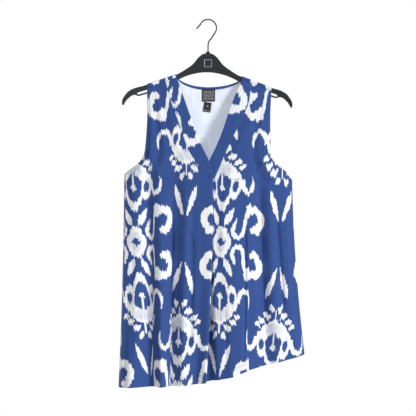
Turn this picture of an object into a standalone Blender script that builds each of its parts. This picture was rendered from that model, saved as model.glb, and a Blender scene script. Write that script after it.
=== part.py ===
"""Sleeveless tunic top with a knife pleat, hanging on a moulded hanger. Metres, +Z up.

The front of the garment faces -Y. The origin is the inside top of the hook, where a rail
would carry the hanger. The cloth is lofted from short tables of folds, a row for each fold
line, whose columns say where the line runs at the chest, halfway down and at the hem.
"""

import math
from collections import namedtuple

import bmesh
import bpy
import numpy as np

OBJECT = "tunic_top_on_hanger"

# Walls and clearances
CLOTH = 0.0012
BAND = 0.0019
TRIM = 0.0010
SEAM_GAP = 0.0004
LIFT = 0.0007

# Hanger
HOOK_WIRE_RADIUS = 0.0017
HOOK_INNER_RADIUS = 0.0195
HOOK_ARC_POINTS = 22
BORE_RADIUS = 0.00205
BORE_TOP = -0.0790
BORE_DEPTH = 0.0140
HANGER_DEPTH = 0.0115
HANGER_ROUNDING = 0.0010
HANGER_TILT = math.radians(-0.9)

# Where the cloth meets the arm: half the arm's depth, its rounding and the cloth's stand-off
OVER_ARM = 0.0010
BACK_SEAM_DROP = 0.0070
FRONT_SEAM_DROP = BACK_SEAM_DROP + SEAM_GAP
SHOULDER_Y = HANGER_DEPTH / 2 + OVER_ARM

LOWER_ROWS = 14
UPPER_ROWS = 11
BAND_COLUMNS = 2

Corner = namedtuple("Corner", "x z kind")
Fold = namedtuple("Fold", "name x_chest x_waist x_hem y_chest y_waist y_hem splits")
Place = namedtuple("Place", "x y z")

# Half of the hanger's outline, from the top of the boss to the middle of the arch.
HANGER_HALF = (
    Corner(0.0045, -0.0790, "VECTOR"),
    Corner(0.0050, -0.0832, "VECTOR"),
    Corner(0.0130, -0.0857, "AUTO"),
    Corner(0.0225, -0.0930, "AUTO"),
    Corner(0.0380, -0.1115, "AUTO"),
    Corner(0.0540, -0.1235, "AUTO"),
    Corner(0.0755, -0.1370, "VECTOR"),
    Corner(0.1570, -0.1660, "VECTOR"),
    Corner(0.1930, -0.1785, "AUTO"),
    Corner(0.2040, -0.1890, "AUTO"),
    Corner(0.2130, -0.2110, "AUTO"),
    Corner(0.2105, -0.2155, "AUTO"),
    Corner(0.2065, -0.2105, "AUTO"),
    Corner(0.1990, -0.2000, "AUTO"),
    Corner(0.1830, -0.1895, "AUTO"),
    Corner(0.1720, -0.1918, "AUTO"),
    Corner(0.1610, -0.1890, "VECTOR"),
    Corner(0.1250, -0.1773, "VECTOR"),
    Corner(0.1242, -0.1738, "VECTOR"),
    Corner(0.1700, -0.1884, "VECTOR"),
    Corner(0.1750, -0.1875, "AUTO"),
    Corner(0.1735, -0.1832, "VECTOR"),
    Corner(0.0760, -0.1510, "VECTOR"),
    Corner(0.0600, -0.1430, "AUTO"),
    Corner(0.0400, -0.1358, "AUTO"),
    Corner(0.0000, -0.1300, "AUTO"),
)
ARM_INNER, ARM_OUTER = HANGER_HALF[6], HANGER_HALF[7]

# Fold lines of the front from the viewer's left to the right. y is negative towards the
# viewer, and splits is the number of cloth strips up to the next line.
FRONT_LEFT_FOLDS = (
    Fold("side seam", -0.2090, -0.2135, -0.2235, -0.0007, -0.0007, -0.0007, 1),
    Fold("side round", -0.2030, -0.2075, -0.2170, -0.0095, -0.0120, -0.0150, 2),
    Fold("outer ridge", -0.1800, -0.1850, -0.1930, -0.0180, -0.0215, -0.0300, 2),
    Fold("deep trough", -0.1420, -0.1430, -0.1370, -0.0170, -0.0155, -0.0160, 2),
    Fold("first flute", -0.1180, -0.1160, -0.1160, -0.0230, -0.0310, -0.0440, 2),
    Fold("sharp trough", -0.0800, -0.0855, -0.0940, -0.0200, -0.0180, -0.0230, 2),
    Fold("second flute", -0.0520, -0.0555, -0.0610, -0.0265, -0.0345, -0.0450, 2),
    Fold("shallow trough", -0.0190, -0.0215, -0.0320, -0.0268, -0.0310, -0.0330, 2),
    Fold("pleat edge", 0.0105, 0.0065, -0.0065, -0.0280, -0.0360, -0.0480, 1),
)
PLEAT_FOLDS = (
    Fold("edge turn", 0.0120, 0.0080, -0.0050, -0.0265, -0.0345, -0.0465, 1),
    Fold("edge underside", 0.0105, 0.0065, -0.0065, -0.0250, -0.0330, -0.0450, 1),
    Fold("root approach", -0.0125, -0.0160, -0.0230, -0.0238, -0.0262, -0.0280, 1),
    Fold("root turn", -0.0140, -0.0175, -0.0245, -0.0224, -0.0238, -0.0240, 1),
    Fold("root return", -0.0125, -0.0160, -0.0230, -0.0210, -0.0214, -0.0205, 1),
    Fold("underlay", 0.0060, 0.0040, 0.0060, -0.0202, -0.0190, -0.0175, 2),
)
FRONT_RIGHT_FOLDS = (
    Fold("right lip", 0.0150, 0.0170, 0.0280, -0.0215, -0.0285, -0.0395, 2),
    Fold("centre flute", 0.0600, 0.0600, 0.0600, -0.0260, -0.0360, -0.0465, 2),
    Fold("step top", 0.0960, 0.0955, 0.0930, -0.0238, -0.0350, -0.0465, 1),
    Fold("step foot", 0.1050, 0.1035, 0.1005, -0.0225, -0.0300, -0.0345, 2),
    Fold("wide trough", 0.1300, 0.1380, 0.1470, -0.0175, -0.0170, -0.0260, 2),
    Fold("third flute", 0.1540, 0.1585, 0.1770, -0.0205, -0.0270, -0.0340, 1),
    Fold("thin trough", 0.1680, 0.1830, 0.2000, -0.0178, -0.0195, -0.0255, 1),
    Fold("outer ridge", 0.1870, 0.2005, 0.2200, -0.0150, -0.0190, -0.0230, 2),
    Fold("side round", 0.2040, 0.2140, 0.2350, -0.0085, -0.0110, -0.0130, 1),
    Fold("side seam", 0.2100, 0.2200, 0.2410, -0.0007, -0.0007, -0.0007, 0),
)
BACK_FOLDS = (
    Fold("side seam", -0.2090, -0.2135, -0.2235, 0.0007, 0.0007, 0.0007, 1),
    Fold("side round", -0.2030, -0.2075, -0.2170, 0.0090, 0.0120, 0.0140, 2),
    Fold("outer ridge", -0.1740, -0.1810, -0.1890, 0.0180, 0.0240, 0.0330, 2),
    Fold("trough", -0.1250, -0.1380, -0.1500, 0.0160, 0.0160, 0.0165, 2),
    Fold("flute", -0.0850, -0.0950, -0.1050, 0.0230, 0.0310, 0.0440, 2),
    Fold("trough", -0.0450, -0.0450, -0.0550, 0.0205, 0.0190, 0.0195, 2),
    Fold("centre flute", 0.0020, 0.0050, -0.0050, 0.0250, 0.0330, 0.0460, 2),
    Fold("trough", 0.0450, 0.0480, 0.0500, 0.0200, 0.0180, 0.0185, 2),
    Fold("flute", 0.0900, 0.0950, 0.1000, 0.0235, 0.0320, 0.0430, 2),
    Fold("trough", 0.1300, 0.1400, 0.1500, 0.0160, 0.0165, 0.0180, 2),
    Fold("outer ridge", 0.1750, 0.1880, 0.2050, 0.0180, 0.0220, 0.0290, 2),
    Fold("side round", 0.2040, 0.2140, 0.2350, 0.0085, 0.0110, 0.0130, 1),
    Fold("side seam", 0.2100, 0.2200, 0.2410, 0.0007, 0.0007, 0.0007, 0),
)
BACK_NECK_FOLDS = (4, 8)

# Height of the cloth's edges against x
HEM_LINE = (
    (-0.2235, -0.9165),
    (-0.1000, -0.9115),
    (-0.0300, -0.9050),
    (0.0000, -0.9000),
    (0.0600, -0.8870),
    (0.0950, -0.8725),
    (0.1450, -0.8580),
    (0.2100, -0.8430),
    (0.2410, -0.8345),
)
CHEST_LINE = (
    (-0.2090, -0.3850),
    (-0.0600, -0.3815),
    (-0.0190, -0.3815),
    (0.0105, -0.3965),
    (0.0600, -0.3970),
    (0.2100, -0.4000),
)

# Front edges from the underarm or the neck's point up to the shoulder
ARMHOLE_LEFT = (
    Place(-0.2090, -0.0007, -0.3850),
    Place(-0.1890, -0.0075, -0.3700),
    Place(-0.1710, -0.0100, -0.3555),
    Place(-0.1590, -0.0115, -0.3340),
    Place(-0.1545, -0.0120, -0.3005),
    Place(-0.1510, -0.0110, -0.2400),
)
ARMHOLE_RIGHT = (
    Place(0.2100, -0.0007, -0.4000),
    Place(0.1920, -0.0075, -0.3770),
    Place(0.1705, -0.0100, -0.3600),
    Place(0.1590, -0.0115, -0.3430),
    Place(0.1555, -0.0120, -0.3050),
    Place(0.1550, -0.0110, -0.2400),
)
LEFT_BAND_SEAM = (
    Place(-0.0190, -0.0268, -0.3815),
    Place(-0.0250, -0.0268, -0.3620),
    Place(-0.0490, -0.0250, -0.3230),
    Place(-0.0730, -0.0200, -0.2560),
    Place(-0.0910, -0.0145, -0.2070),
)
LEFT_BAND_NECK = (
    Place(0.0118, -0.0285, -0.3955),
    Place(0.0140, -0.0282, -0.3870),
    Place(0.0080, -0.0275, -0.3660),
    Place(-0.0010, -0.0265, -0.3450),
    Place(-0.0225, -0.0230, -0.2995),
    Place(-0.0530, -0.0140, -0.2150),
)
RIGHT_BAND_SEAM = (
    Place(0.0150, -0.0215, -0.3970),
    Place(0.0515, -0.0215, -0.3140),
    Place(0.0690, -0.0195, -0.2780),
    Place(0.0870, -0.0165, -0.2420),
    Place(0.1020, -0.0120, -0.2020),
)
RIGHT_BAND_NECK = (
    Place(-0.0090, -0.0205, -0.3790),
    Place(0.0030, -0.0205, -0.3520),
    Place(0.0310, -0.0180, -0.2915),
    Place(0.0570, -0.0130, -0.2160),
)
SHOULDER_TIP_LEFT, BAND_TOP_LEFT, NECK_POINT_LEFT = -0.1520, -0.1060, -0.0780
NECK_POINT_RIGHT, BAND_TOP_RIGHT, SHOULDER_TIP_RIGHT = 0.0840, 0.1060, 0.1580

# Top of the back between the neck points, the binding's lower edge
BACK_NECK_DIP = (
    Place(-0.0665, 0.0075, -0.1570),
    Place(-0.0380, 0.0085, -0.1695),
    Place(0.0000, 0.0092, -0.1745),
    Place(0.0420, 0.0086, -0.1700),
    Place(0.0725, 0.0075, -0.1590),
)
BINDING_HEIGHT = 0.0068
BINDING_END_GAP = 0.0016

LABEL_WIDTH, LABEL_HEIGHT = 0.0330, 0.0310
LABEL_CENTRE_X, LABEL_TOP_Z = 0.0013, -0.1752
TAB_WIDTH, TAB_HEIGHT = 0.0190, 0.0245
TAB_TILT = math.radians(-8)


def finish(name, colour, roughness, metallic=0.0):
    """Principled material in one colour."""
    material = bpy.data.materials.new(name)
    material.use_nodes = True
    shader = material.node_tree.nodes["Principled BSDF"]
    shader.inputs["Base Color"].default_value = (*colour, 1.0)
    shader.inputs["Roughness"].default_value = roughness
    shader.inputs["Metallic"].default_value = metallic
    return material


def quadratic(start, middle, end, t):
    """Value at t, from 0 to 1, of the parabola through three evenly spaced values."""
    return (
        start * (1 - t) * (1 - 2 * t) + 4 * middle * t * (1 - t) + end * t * (2 * t - 1)
    )


def height_at(line, x):
    """Height of an edge table at x."""
    xs, zs = zip(*line)
    return float(np.interp(x, xs, zs))


def tilted(x, z):
    """A point of the upright hanger, turned about the top of its bore."""
    cos, sin = math.cos(HANGER_TILT), math.sin(HANGER_TILT)
    rise = z - BORE_TOP
    return x * cos - rise * sin, BORE_TOP + x * sin + rise * cos


def arm_top(x):
    """Height of the hanger arm's upper side at x."""
    side = math.copysign(1.0, x)
    inner = tilted(side * ARM_INNER.x, ARM_INNER.z)
    outer = tilted(side * ARM_OUTER.x, ARM_OUTER.z)
    slope = (outer[1] - inner[1]) / (outer[0] - inner[0])
    return inner[1] + slope * (x - inner[0])


def smooth_path(places, count):
    """count points spaced evenly along a smooth curve through the places."""
    knots = np.array(places, dtype=float)
    guides = np.vstack([2 * knots[0] - knots[1], knots, 2 * knots[-1] - knots[-2]])
    t = np.linspace(0, 1, 24, endpoint=False)[:, None]
    spans = []
    for a, b, c, d in zip(guides, guides[1:], guides[2:], guides[3:]):
        cubic = -a + 3 * b - 3 * c + d
        square = 2 * a - 5 * b + 4 * c - d
        spans.append(0.5 * (2 * b + (c - a) * t + square * t**2 + cubic * t**3))
    curve = np.vstack([*spans, knots[-1:]])
    steps = np.linalg.norm(np.diff(curve, axis=0), axis=1)
    along = np.concatenate([[0.0], np.cumsum(steps)])
    wanted = np.linspace(0, along[-1], count)
    return np.stack([np.interp(wanted, along, axis) for axis in curve.T], axis=1)


def columns_of(folds, following=None):
    """(fold, next fold, share) of each column of cloth, with smooth flutes between lines."""
    chain = [*folds, following] if following else [*folds]
    columns = []
    for fold, after in zip(chain, chain[1:]):
        columns += [(fold, after, k / fold.splits) for k in range(fold.splits)]
    if not following:
        columns.append((chain[-1], chain[-1], 0.0))
    return columns


def column_point(column, t):
    """Point of a column, t = 0 at the chest line and 1 at the hem."""
    fold, after, share = column
    ease = share * share * (3 - 2 * share)
    ends = []
    for line in (fold, after):
        x = quadratic(line.x_chest, line.x_waist, line.x_hem, t)
        y = quadratic(line.y_chest, line.y_waist, line.y_hem, t)
        z = height_at(CHEST_LINE, line.x_chest) * (1 - t) + height_at(HEM_LINE, line.x_hem) * t
        ends.append((x, y, z))
    (x0, y0, z0), (x1, y1, z1) = ends
    return (
        x0 + (x1 - x0) * share,
        y0 + (y1 - y0) * ease,
        z0 + (z1 - z0) * share,
    )


def skirt(columns):
    """Grid of points from the chest line, row 0, down to the hem."""
    heights = np.linspace(0, 1, LOWER_ROWS + 1)
    return np.array([[column_point(c, t) for c in columns] for t in heights])


def fill(left, right, bottom, top):
    """Grid of points, rows from bottom to top, that fills four edges with shared corners."""
    across = bottom[:, 0] - bottom[0, 0]
    u = (across / across[-1])[None, :, None]
    v = np.linspace(0, 1, len(left))[:, None, None]
    sides = left[:, None] * (1 - u) + right[:, None] * u
    ends = bottom[None] * (1 - v) + top[None] * v
    low = bottom[0] * (1 - u) + bottom[-1] * u
    high = top[0] * (1 - u) + top[-1] * u
    return sides + ends - low * (1 - v) - high * v


def shoulder_point(x, side_y, drop):
    """Point beside the hanger's arm, drop below its upper side."""
    return Place(x, side_y, arm_top(x) - drop)


def straight(start, end, shares):
    """Points at the given shares of a straight line."""
    start, end = np.array(start), np.array(end)
    return start + (end - start) * np.asarray(shares)[:, None]


def shares_of(points):
    """Each point's share of the way across, from 0 to 1."""
    return (points[:, 0] - points[0, 0]) / (points[-1, 0] - points[0, 0])


def mesh_object(name, grids, material, thickness=0.0):
    """Object from grids of points that share their common edges, made a wall by Solidify."""
    shell = bmesh.new()
    for grid in grids:
        rows = [[shell.verts.new(point) for point in row] for row in grid]
        for low, high in zip(rows, rows[1:]):
            for corners in zip(low, low[1:], high[1:], high):
                shell.faces.new(corners)
    bmesh.ops.remove_doubles(shell, verts=shell.verts, dist=0.00005)
    bmesh.ops.recalc_face_normals(shell, faces=shell.faces)
    mesh = bpy.data.meshes.new(name)
    shell.to_mesh(mesh)
    shell.free()
    mesh.shade_smooth()
    mesh.materials.append(material)
    made = bpy.data.objects.new(name, mesh)
    bpy.data.collections[OBJECT].objects.link(made)
    wall = made.modifiers.new("Wall", "SOLIDIFY")
    wall.thickness = thickness
    wall.offset = 0.0
    return made


def build_front(cloth):
    """Front: one cloth with a knife pleat, and a patch up to each shoulder."""
    left = columns_of(FRONT_LEFT_FOLDS[:-1], FRONT_LEFT_FOLDS[-1])
    to_band = sum(fold.splits for fold in FRONT_LEFT_FOLDS[:-2])
    pleat = columns_of((FRONT_LEFT_FOLDS[-1], *PLEAT_FOLDS), FRONT_RIGHT_FOLDS[0])
    right = columns_of(FRONT_RIGHT_FOLDS)
    lower = skirt([*left, *pleat, *right])

    bottom = lower[0, : to_band + 1]
    tip = shoulder_point(SHOULDER_TIP_LEFT, -SHOULDER_Y, FRONT_SEAM_DROP)
    band = shoulder_point(BAND_TOP_LEFT, -SHOULDER_Y, FRONT_SEAM_DROP)
    left_patch = fill(
        smooth_path([*ARMHOLE_LEFT, tip], UPPER_ROWS + 1),
        smooth_path([*LEFT_BAND_SEAM, band], UPPER_ROWS + 1),
        bottom,
        straight(tip, band, shares_of(bottom)),
    )

    bottom = lower[0, len(left) + len(pleat) :]
    tip = shoulder_point(SHOULDER_TIP_RIGHT, -SHOULDER_Y, FRONT_SEAM_DROP)
    band = shoulder_point(BAND_TOP_RIGHT, -SHOULDER_Y, FRONT_SEAM_DROP)
    right_patch = fill(
        smooth_path([*RIGHT_BAND_SEAM, band], UPPER_ROWS + 1),
        smooth_path([*ARMHOLE_RIGHT, tip], UPPER_ROWS + 1),
        bottom,
        straight(band, tip, shares_of(bottom)),
    )
    return mesh_object("front", [lower, left_patch, right_patch], cloth, CLOTH)


def back_upper(bottom):
    """Back above the chest line, and the columns at the two ends of its neck."""
    first, last = (sum(f.splits for f in BACK_FOLDS[:k]) for k in BACK_NECK_FOLDS)
    tips = [
        shoulder_point(x, SHOULDER_Y, BACK_SEAM_DROP)
        for x in (SHOULDER_TIP_LEFT, SHOULDER_TIP_RIGHT)
    ]
    necks = [
        shoulder_point(x, SHOULDER_Y, BACK_SEAM_DROP) for x in (NECK_POINT_LEFT, NECK_POINT_RIGHT)
    ]
    on_left = shares_of(bottom[: first + 1])
    on_right = shares_of(bottom[last:])
    top = np.vstack(
        [
            straight(tips[0], necks[0], on_left),
            smooth_path([necks[0], *BACK_NECK_DIP, necks[1]], last - first + 1)[1:-1],
            straight(necks[1], tips[1], on_right),
        ]
    )
    armholes = [
        smooth_path([*(Place(p.x * 0.99, -p.y, p.z) for p in hole[1:]), tip], UPPER_ROWS)
        for hole, tip in zip((ARMHOLE_LEFT, ARMHOLE_RIGHT), tips)
    ]
    sides = [
        np.vstack([bottom[[end]], armhole]) for end, armhole in zip((0, -1), armholes)
    ]
    return fill(*sides, bottom, top), first, last


def over_the_arm(row):
    """Strip of cloth from a top row of the back, over the arm to the front seam."""
    corner = SHOULDER_Y - OVER_ARM - HANGER_ROUNDING
    reach = HANGER_ROUNDING + OVER_ARM
    profile = [(SHOULDER_Y, -BACK_SEAM_DROP)]
    for degrees in (0, 45, 90):
        angle = math.radians(degrees)
        up = reach * math.sin(angle) - HANGER_ROUNDING
        profile.append((corner + reach * math.cos(angle), up))
    profile += [(-y, drop) for y, drop in reversed(profile)]
    return np.array([[(x, y, arm_top(x) + drop) for x in row[:, 0]] for y, drop in profile])


def build_back(cloth):
    """Back: one cloth, over each arm of the hanger to a seam just in front.

    Returns its upper grid and the columns at the ends of its neck, for the pieces sewn to it.
    """
    lower = skirt(columns_of(BACK_FOLDS))
    upper, first, last = back_upper(lower[0])
    strips = [over_the_arm(upper[-1, : first + 1]), over_the_arm(upper[-1, last:])]
    mesh_object("back", [lower, upper, *strips], cloth, CLOTH)
    return upper, first, last


def ribbon(outer, inner):
    """Grid between two edges, drawn in by the seam's gap at the outer one."""
    width = np.linalg.norm(outer - inner, axis=1)[:, None]
    outer = outer + (inner - outer) * SEAM_GAP / width
    shares = np.linspace(0, 1, BAND_COLUMNS + 1)
    return np.array([straight(start, end, shares) for start, end in zip(outer, inner)])


def build_neckband(name, seam, neck, band_top, neck_point, cloth):
    """Doubled band between its seam on the front and the open neck."""
    side_y = -SHOULDER_Y - (BAND - CLOTH) / 2
    seam_end = shoulder_point(band_top, side_y, FRONT_SEAM_DROP)
    neck_end = shoulder_point(neck_point, side_y, FRONT_SEAM_DROP)
    outer = smooth_path([*seam, seam_end], UPPER_ROWS + 1)
    inner = smooth_path([*neck, neck_end], UPPER_ROWS + 1)
    outer[0] += (outer[1] - outer[0]) * 2 * SEAM_GAP / np.linalg.norm(outer[1] - outer[0])
    return mesh_object(name, [ribbon(outer, inner)], cloth, BAND)


def build_back_binding(upper, first, last, cloth):
    """Narrow binding that stands on the back's neck edge, from shoulder to shoulder."""
    edge = upper[-1, first : last + 1].copy()
    below = upper[-2, first : last + 1]
    rise = (edge - below) / np.linalg.norm(edge - below, axis=1)[:, None]
    for end, inner in ((0, 1), (-1, -2)):
        inward = edge[inner] - edge[end]
        edge[end] += inward * BINDING_END_GAP / np.linalg.norm(inward)
    fullness = np.sin(np.linspace(0, math.pi, len(edge)))[:, None] ** 0.35
    edge[:, 1] += BAND - CLOTH
    low = edge + rise * 2 * SEAM_GAP
    high = low + rise * BINDING_HEIGHT * np.maximum(fullness, 0.25)
    return mesh_object("neckband_back", [np.array([low, high])], cloth, BAND)


def depth_on(panel, x, z):
    """y of the panel's cloth at (x, z), from its grid of points."""
    heights = [np.interp(x, row[:, 0], row[:, 2]) for row in panel]
    depths = [np.interp(x, row[:, 0], row[:, 1]) for row in panel]
    return float(np.interp(z, heights, depths))


def patch_on(panel, corners, lift):
    """3 by 3 grid between four (x, z) corners, on the panel's points moved towards the front."""
    low_left, low_right, high_left, high_right = (np.array(c) for c in corners)
    grid = []
    for v in (0.0, 0.5, 1.0):
        row = []
        for u in (0.0, 0.5, 1.0):
            low = low_left + (low_right - low_left) * u
            high = high_left + (high_right - high_left) * u
            x, z = low + (high - low) * v
            row.append((x, depth_on(panel, x, z) - lift, z))
        grid.append(row)
    return np.array(grid)


def build_labels(upper, woven):
    """Neck label on the inside of the back, with a small tab sewn under it."""
    left, right = (LABEL_CENTRE_X + side * LABEL_WIDTH / 2 for side in (-1, 1))
    bottom = LABEL_TOP_Z - LABEL_HEIGHT
    corners = ((left, bottom), (right, bottom), (left, LABEL_TOP_Z), (right, LABEL_TOP_Z))
    lift = CLOTH / 2 + TRIM / 2 + LIFT
    mesh_object("neck_label", [patch_on(upper, corners, lift)], woven, TRIM)

    top_z = bottom - SEAM_GAP - math.sin(-TAB_TILT) * TAB_WIDTH / 2
    across = np.array((math.cos(TAB_TILT), math.sin(TAB_TILT))) * TAB_WIDTH / 2
    down = np.array((math.sin(TAB_TILT), -math.cos(TAB_TILT))) * TAB_HEIGHT
    top = np.array((LABEL_CENTRE_X - 0.0015, top_z))
    corners = (top - across + down, top + across + down, top - across, top + across)
    mesh_object("size_tab", [patch_on(upper, corners, lift)], woven, TRIM)


def spline_curve(name, corners, cyclic):
    """Flat Bezier outline through the corners, in its own XY plane."""
    curve = bpy.data.curves.new(name, "CURVE")
    spline = curve.splines.new("BEZIER")
    spline.bezier_points.add(len(corners) - 1)
    spline.use_cyclic_u = cyclic
    spline.resolution_u = 3
    for point, corner in zip(spline.bezier_points, corners):
        point.co = (corner.x, corner.z, 0.0)
        point.handle_left_type = corner.kind
        point.handle_right_type = corner.kind
    return curve


def as_mesh(curve_object, name):
    """Mesh object with a curve's evaluated shape, in place of the curve."""
    depsgraph = bpy.context.evaluated_depsgraph_get()
    mesh = bpy.data.meshes.new_from_object(curve_object.evaluated_get(depsgraph))
    shape = bmesh.new()
    shape.from_mesh(mesh)
    bmesh.ops.remove_doubles(shape, verts=shape.verts, dist=0.00001)
    shape.to_mesh(mesh)
    shape.free()
    made = bpy.data.objects.new(name, mesh)
    made.matrix_world = curve_object.matrix_world.copy()
    bpy.data.objects.remove(curve_object)
    return made


def build_hanger_body(plastic):
    """Moulded hanger: an outline with rounded edges, bored for the hook."""
    mirrored = [Corner(-c.x, c.z, c.kind) for c in reversed(HANGER_HALF[:-1])]
    outline = spline_curve("hanger_outline", [*HANGER_HALF, *mirrored], cyclic=True)
    outline.dimensions = "2D"
    outline.fill_mode = "BOTH"
    outline.extrude = HANGER_DEPTH / 2
    flat = bpy.data.objects.new("hanger_outline", outline)
    bpy.context.scene.collection.objects.link(flat)
    flat.rotation_euler = (math.radians(90), 0, 0)
    weld = flat.modifiers.new("Weld", "WELD")
    weld.merge_threshold = 0.00001
    rounding = flat.modifiers.new("Rounding", "BEVEL")
    rounding.width = HANGER_ROUNDING
    rounding.segments = 2
    rounding.use_clamp_overlap = False
    rounding.limit_method = "ANGLE"
    rounding.angle_limit = math.radians(60)
    bpy.context.view_layer.update()
    body = as_mesh(flat, "hanger_body")
    bpy.data.collections[OBJECT].objects.link(body)
    body.data.materials.clear()
    body.data.materials.append(plastic)

    pivot = bpy.data.objects.new("hanger_pivot", None)
    bpy.data.collections[OBJECT].objects.link(pivot)
    pivot.location = (0, 0, BORE_TOP)
    pivot.rotation_euler = (0, -HANGER_TILT, 0)
    body.parent = pivot
    body.location = (0, 0, -BORE_TOP)

    bpy.ops.mesh.primitive_cylinder_add(
        vertices=16, radius=BORE_RADIUS, depth=2 * BORE_DEPTH, location=(0, 0, BORE_TOP)
    )
    cutter = bpy.context.object
    cutter.name = "bore_cutter"
    cutter.hide_render = True
    cutter.display_type = "WIRE"
    for home in cutter.users_collection:
        home.objects.unlink(cutter)
    bpy.data.collections["cutters"].objects.link(cutter)
    bore = body.modifiers.new("Bore", "BOOLEAN")
    bore.object = cutter
    bore.operation = "DIFFERENCE"
    return body


def hook_route():
    """Centre line of the wire: up from the bore, out to the right, over and down the left."""
    radius = HOOK_INNER_RADIUS + HOOK_WIRE_RADIUS
    centre_z = -HOOK_INNER_RADIUS
    foot = BORE_TOP - BORE_DEPTH + 0.0010
    points = [(0.0, foot), (0.0, BORE_TOP), (0.0005, -0.0600), (0.0030, -0.0520), (0.0095, -0.0440)]
    start, end = math.radians(-38), math.radians(158)
    for angle in np.linspace(start, end, HOOK_ARC_POINTS):
        points.append((radius * math.cos(angle), centre_z + radius * math.sin(angle)))
    points += [(-0.0243, -0.0163), (-0.0285, -0.0222)]
    return [Place(x, 0.0, z) for x, z in points]


def build_hook(steel):
    """Bent wire hook."""
    route = smooth_path(hook_route(), 40)
    curve = bpy.data.curves.new("hanger_hook", "CURVE")
    curve.dimensions = "3D"
    spline = curve.splines.new("POLY")
    spline.points.add(len(route) - 1)
    for point, place in zip(spline.points, route):
        point.co = (*place, 1.0)
    curve.bevel_depth = HOOK_WIRE_RADIUS
    curve.bevel_resolution = 2
    curve.use_fill_caps = True
    curve.materials.append(steel)
    hook = bpy.data.objects.new("hanger_hook", curve)
    bpy.data.collections[OBJECT].objects.link(hook)
    return hook


def main():
    """Clear the scene and build every piece."""
    for stale in list(bpy.data.objects):
        bpy.data.objects.remove(stale)
    for name in (OBJECT, "cutters"):
        bpy.context.scene.collection.children.link(bpy.data.collections.new(name))

    jersey = finish("printed_jersey", (0.053, 0.115, 0.314), 0.75)
    banding = finish("doubled_jersey", (0.045, 0.095, 0.270), 0.75)
    woven = finish("black_woven_label", (0.010, 0.010, 0.012), 0.60)
    plastic = finish("black_plastic", (0.014, 0.016, 0.022), 0.38)
    steel = finish("hook_wire", (0.030, 0.032, 0.038), 0.35, metallic=1.0)

    build_front(jersey)
    upper, first, last = build_back(jersey)
    build_neckband(
        "neckband_left", LEFT_BAND_SEAM, LEFT_BAND_NECK, BAND_TOP_LEFT, NECK_POINT_LEFT, banding
    )
    build_neckband(
        "neckband_right",
        RIGHT_BAND_SEAM,
        RIGHT_BAND_NECK,
        BAND_TOP_RIGHT,
        NECK_POINT_RIGHT,
        banding,
    )
    build_back_binding(upper, first, last, banding)
    build_labels(upper, woven)
    build_hanger_body(plastic)
    build_hook(steel)


main()
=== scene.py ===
"""Looks of a sleeveless printed tunic top on its hanger. Metres, +Z up, front towards -Y.

The cloth is lofted again, finely, from the fold lines that shape its solids, with small listed
creases laid on. The print is drawn by the material from each panel's own flat cloth.
"""

import logging
import math
from dataclasses import dataclass, field
from enum import Enum
from typing import Sequence, Union

import bmesh
import bpy
import numpy as np
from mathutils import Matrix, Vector


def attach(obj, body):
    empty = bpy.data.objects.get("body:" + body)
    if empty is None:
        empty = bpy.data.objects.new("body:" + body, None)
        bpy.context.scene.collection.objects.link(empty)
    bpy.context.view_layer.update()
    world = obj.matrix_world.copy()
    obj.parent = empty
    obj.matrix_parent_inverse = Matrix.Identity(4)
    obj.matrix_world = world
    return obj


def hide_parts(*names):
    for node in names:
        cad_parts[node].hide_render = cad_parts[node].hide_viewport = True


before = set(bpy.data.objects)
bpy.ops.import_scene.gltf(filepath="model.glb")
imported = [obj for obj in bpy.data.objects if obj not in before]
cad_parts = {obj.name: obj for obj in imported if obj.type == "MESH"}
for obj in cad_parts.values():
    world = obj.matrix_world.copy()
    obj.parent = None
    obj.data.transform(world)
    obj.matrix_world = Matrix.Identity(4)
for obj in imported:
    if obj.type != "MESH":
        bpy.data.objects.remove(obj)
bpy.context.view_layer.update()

log = logging.getLogger("tunic")

CLOTH_WALL = 0.0012
BAND_WALL = 0.0019
LABEL_WALL = 0.0010
SEAM_GAP = 0.0004
LABEL_LIFT = 0.0007
BODY = "root"
MILLIMETRES = 1000.0

Colour = tuple[float, float, float]
Operand = Union["Signal", float]


# --------------------------------------------------------------------------------------------
# Shader arithmetic
# --------------------------------------------------------------------------------------------


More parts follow.
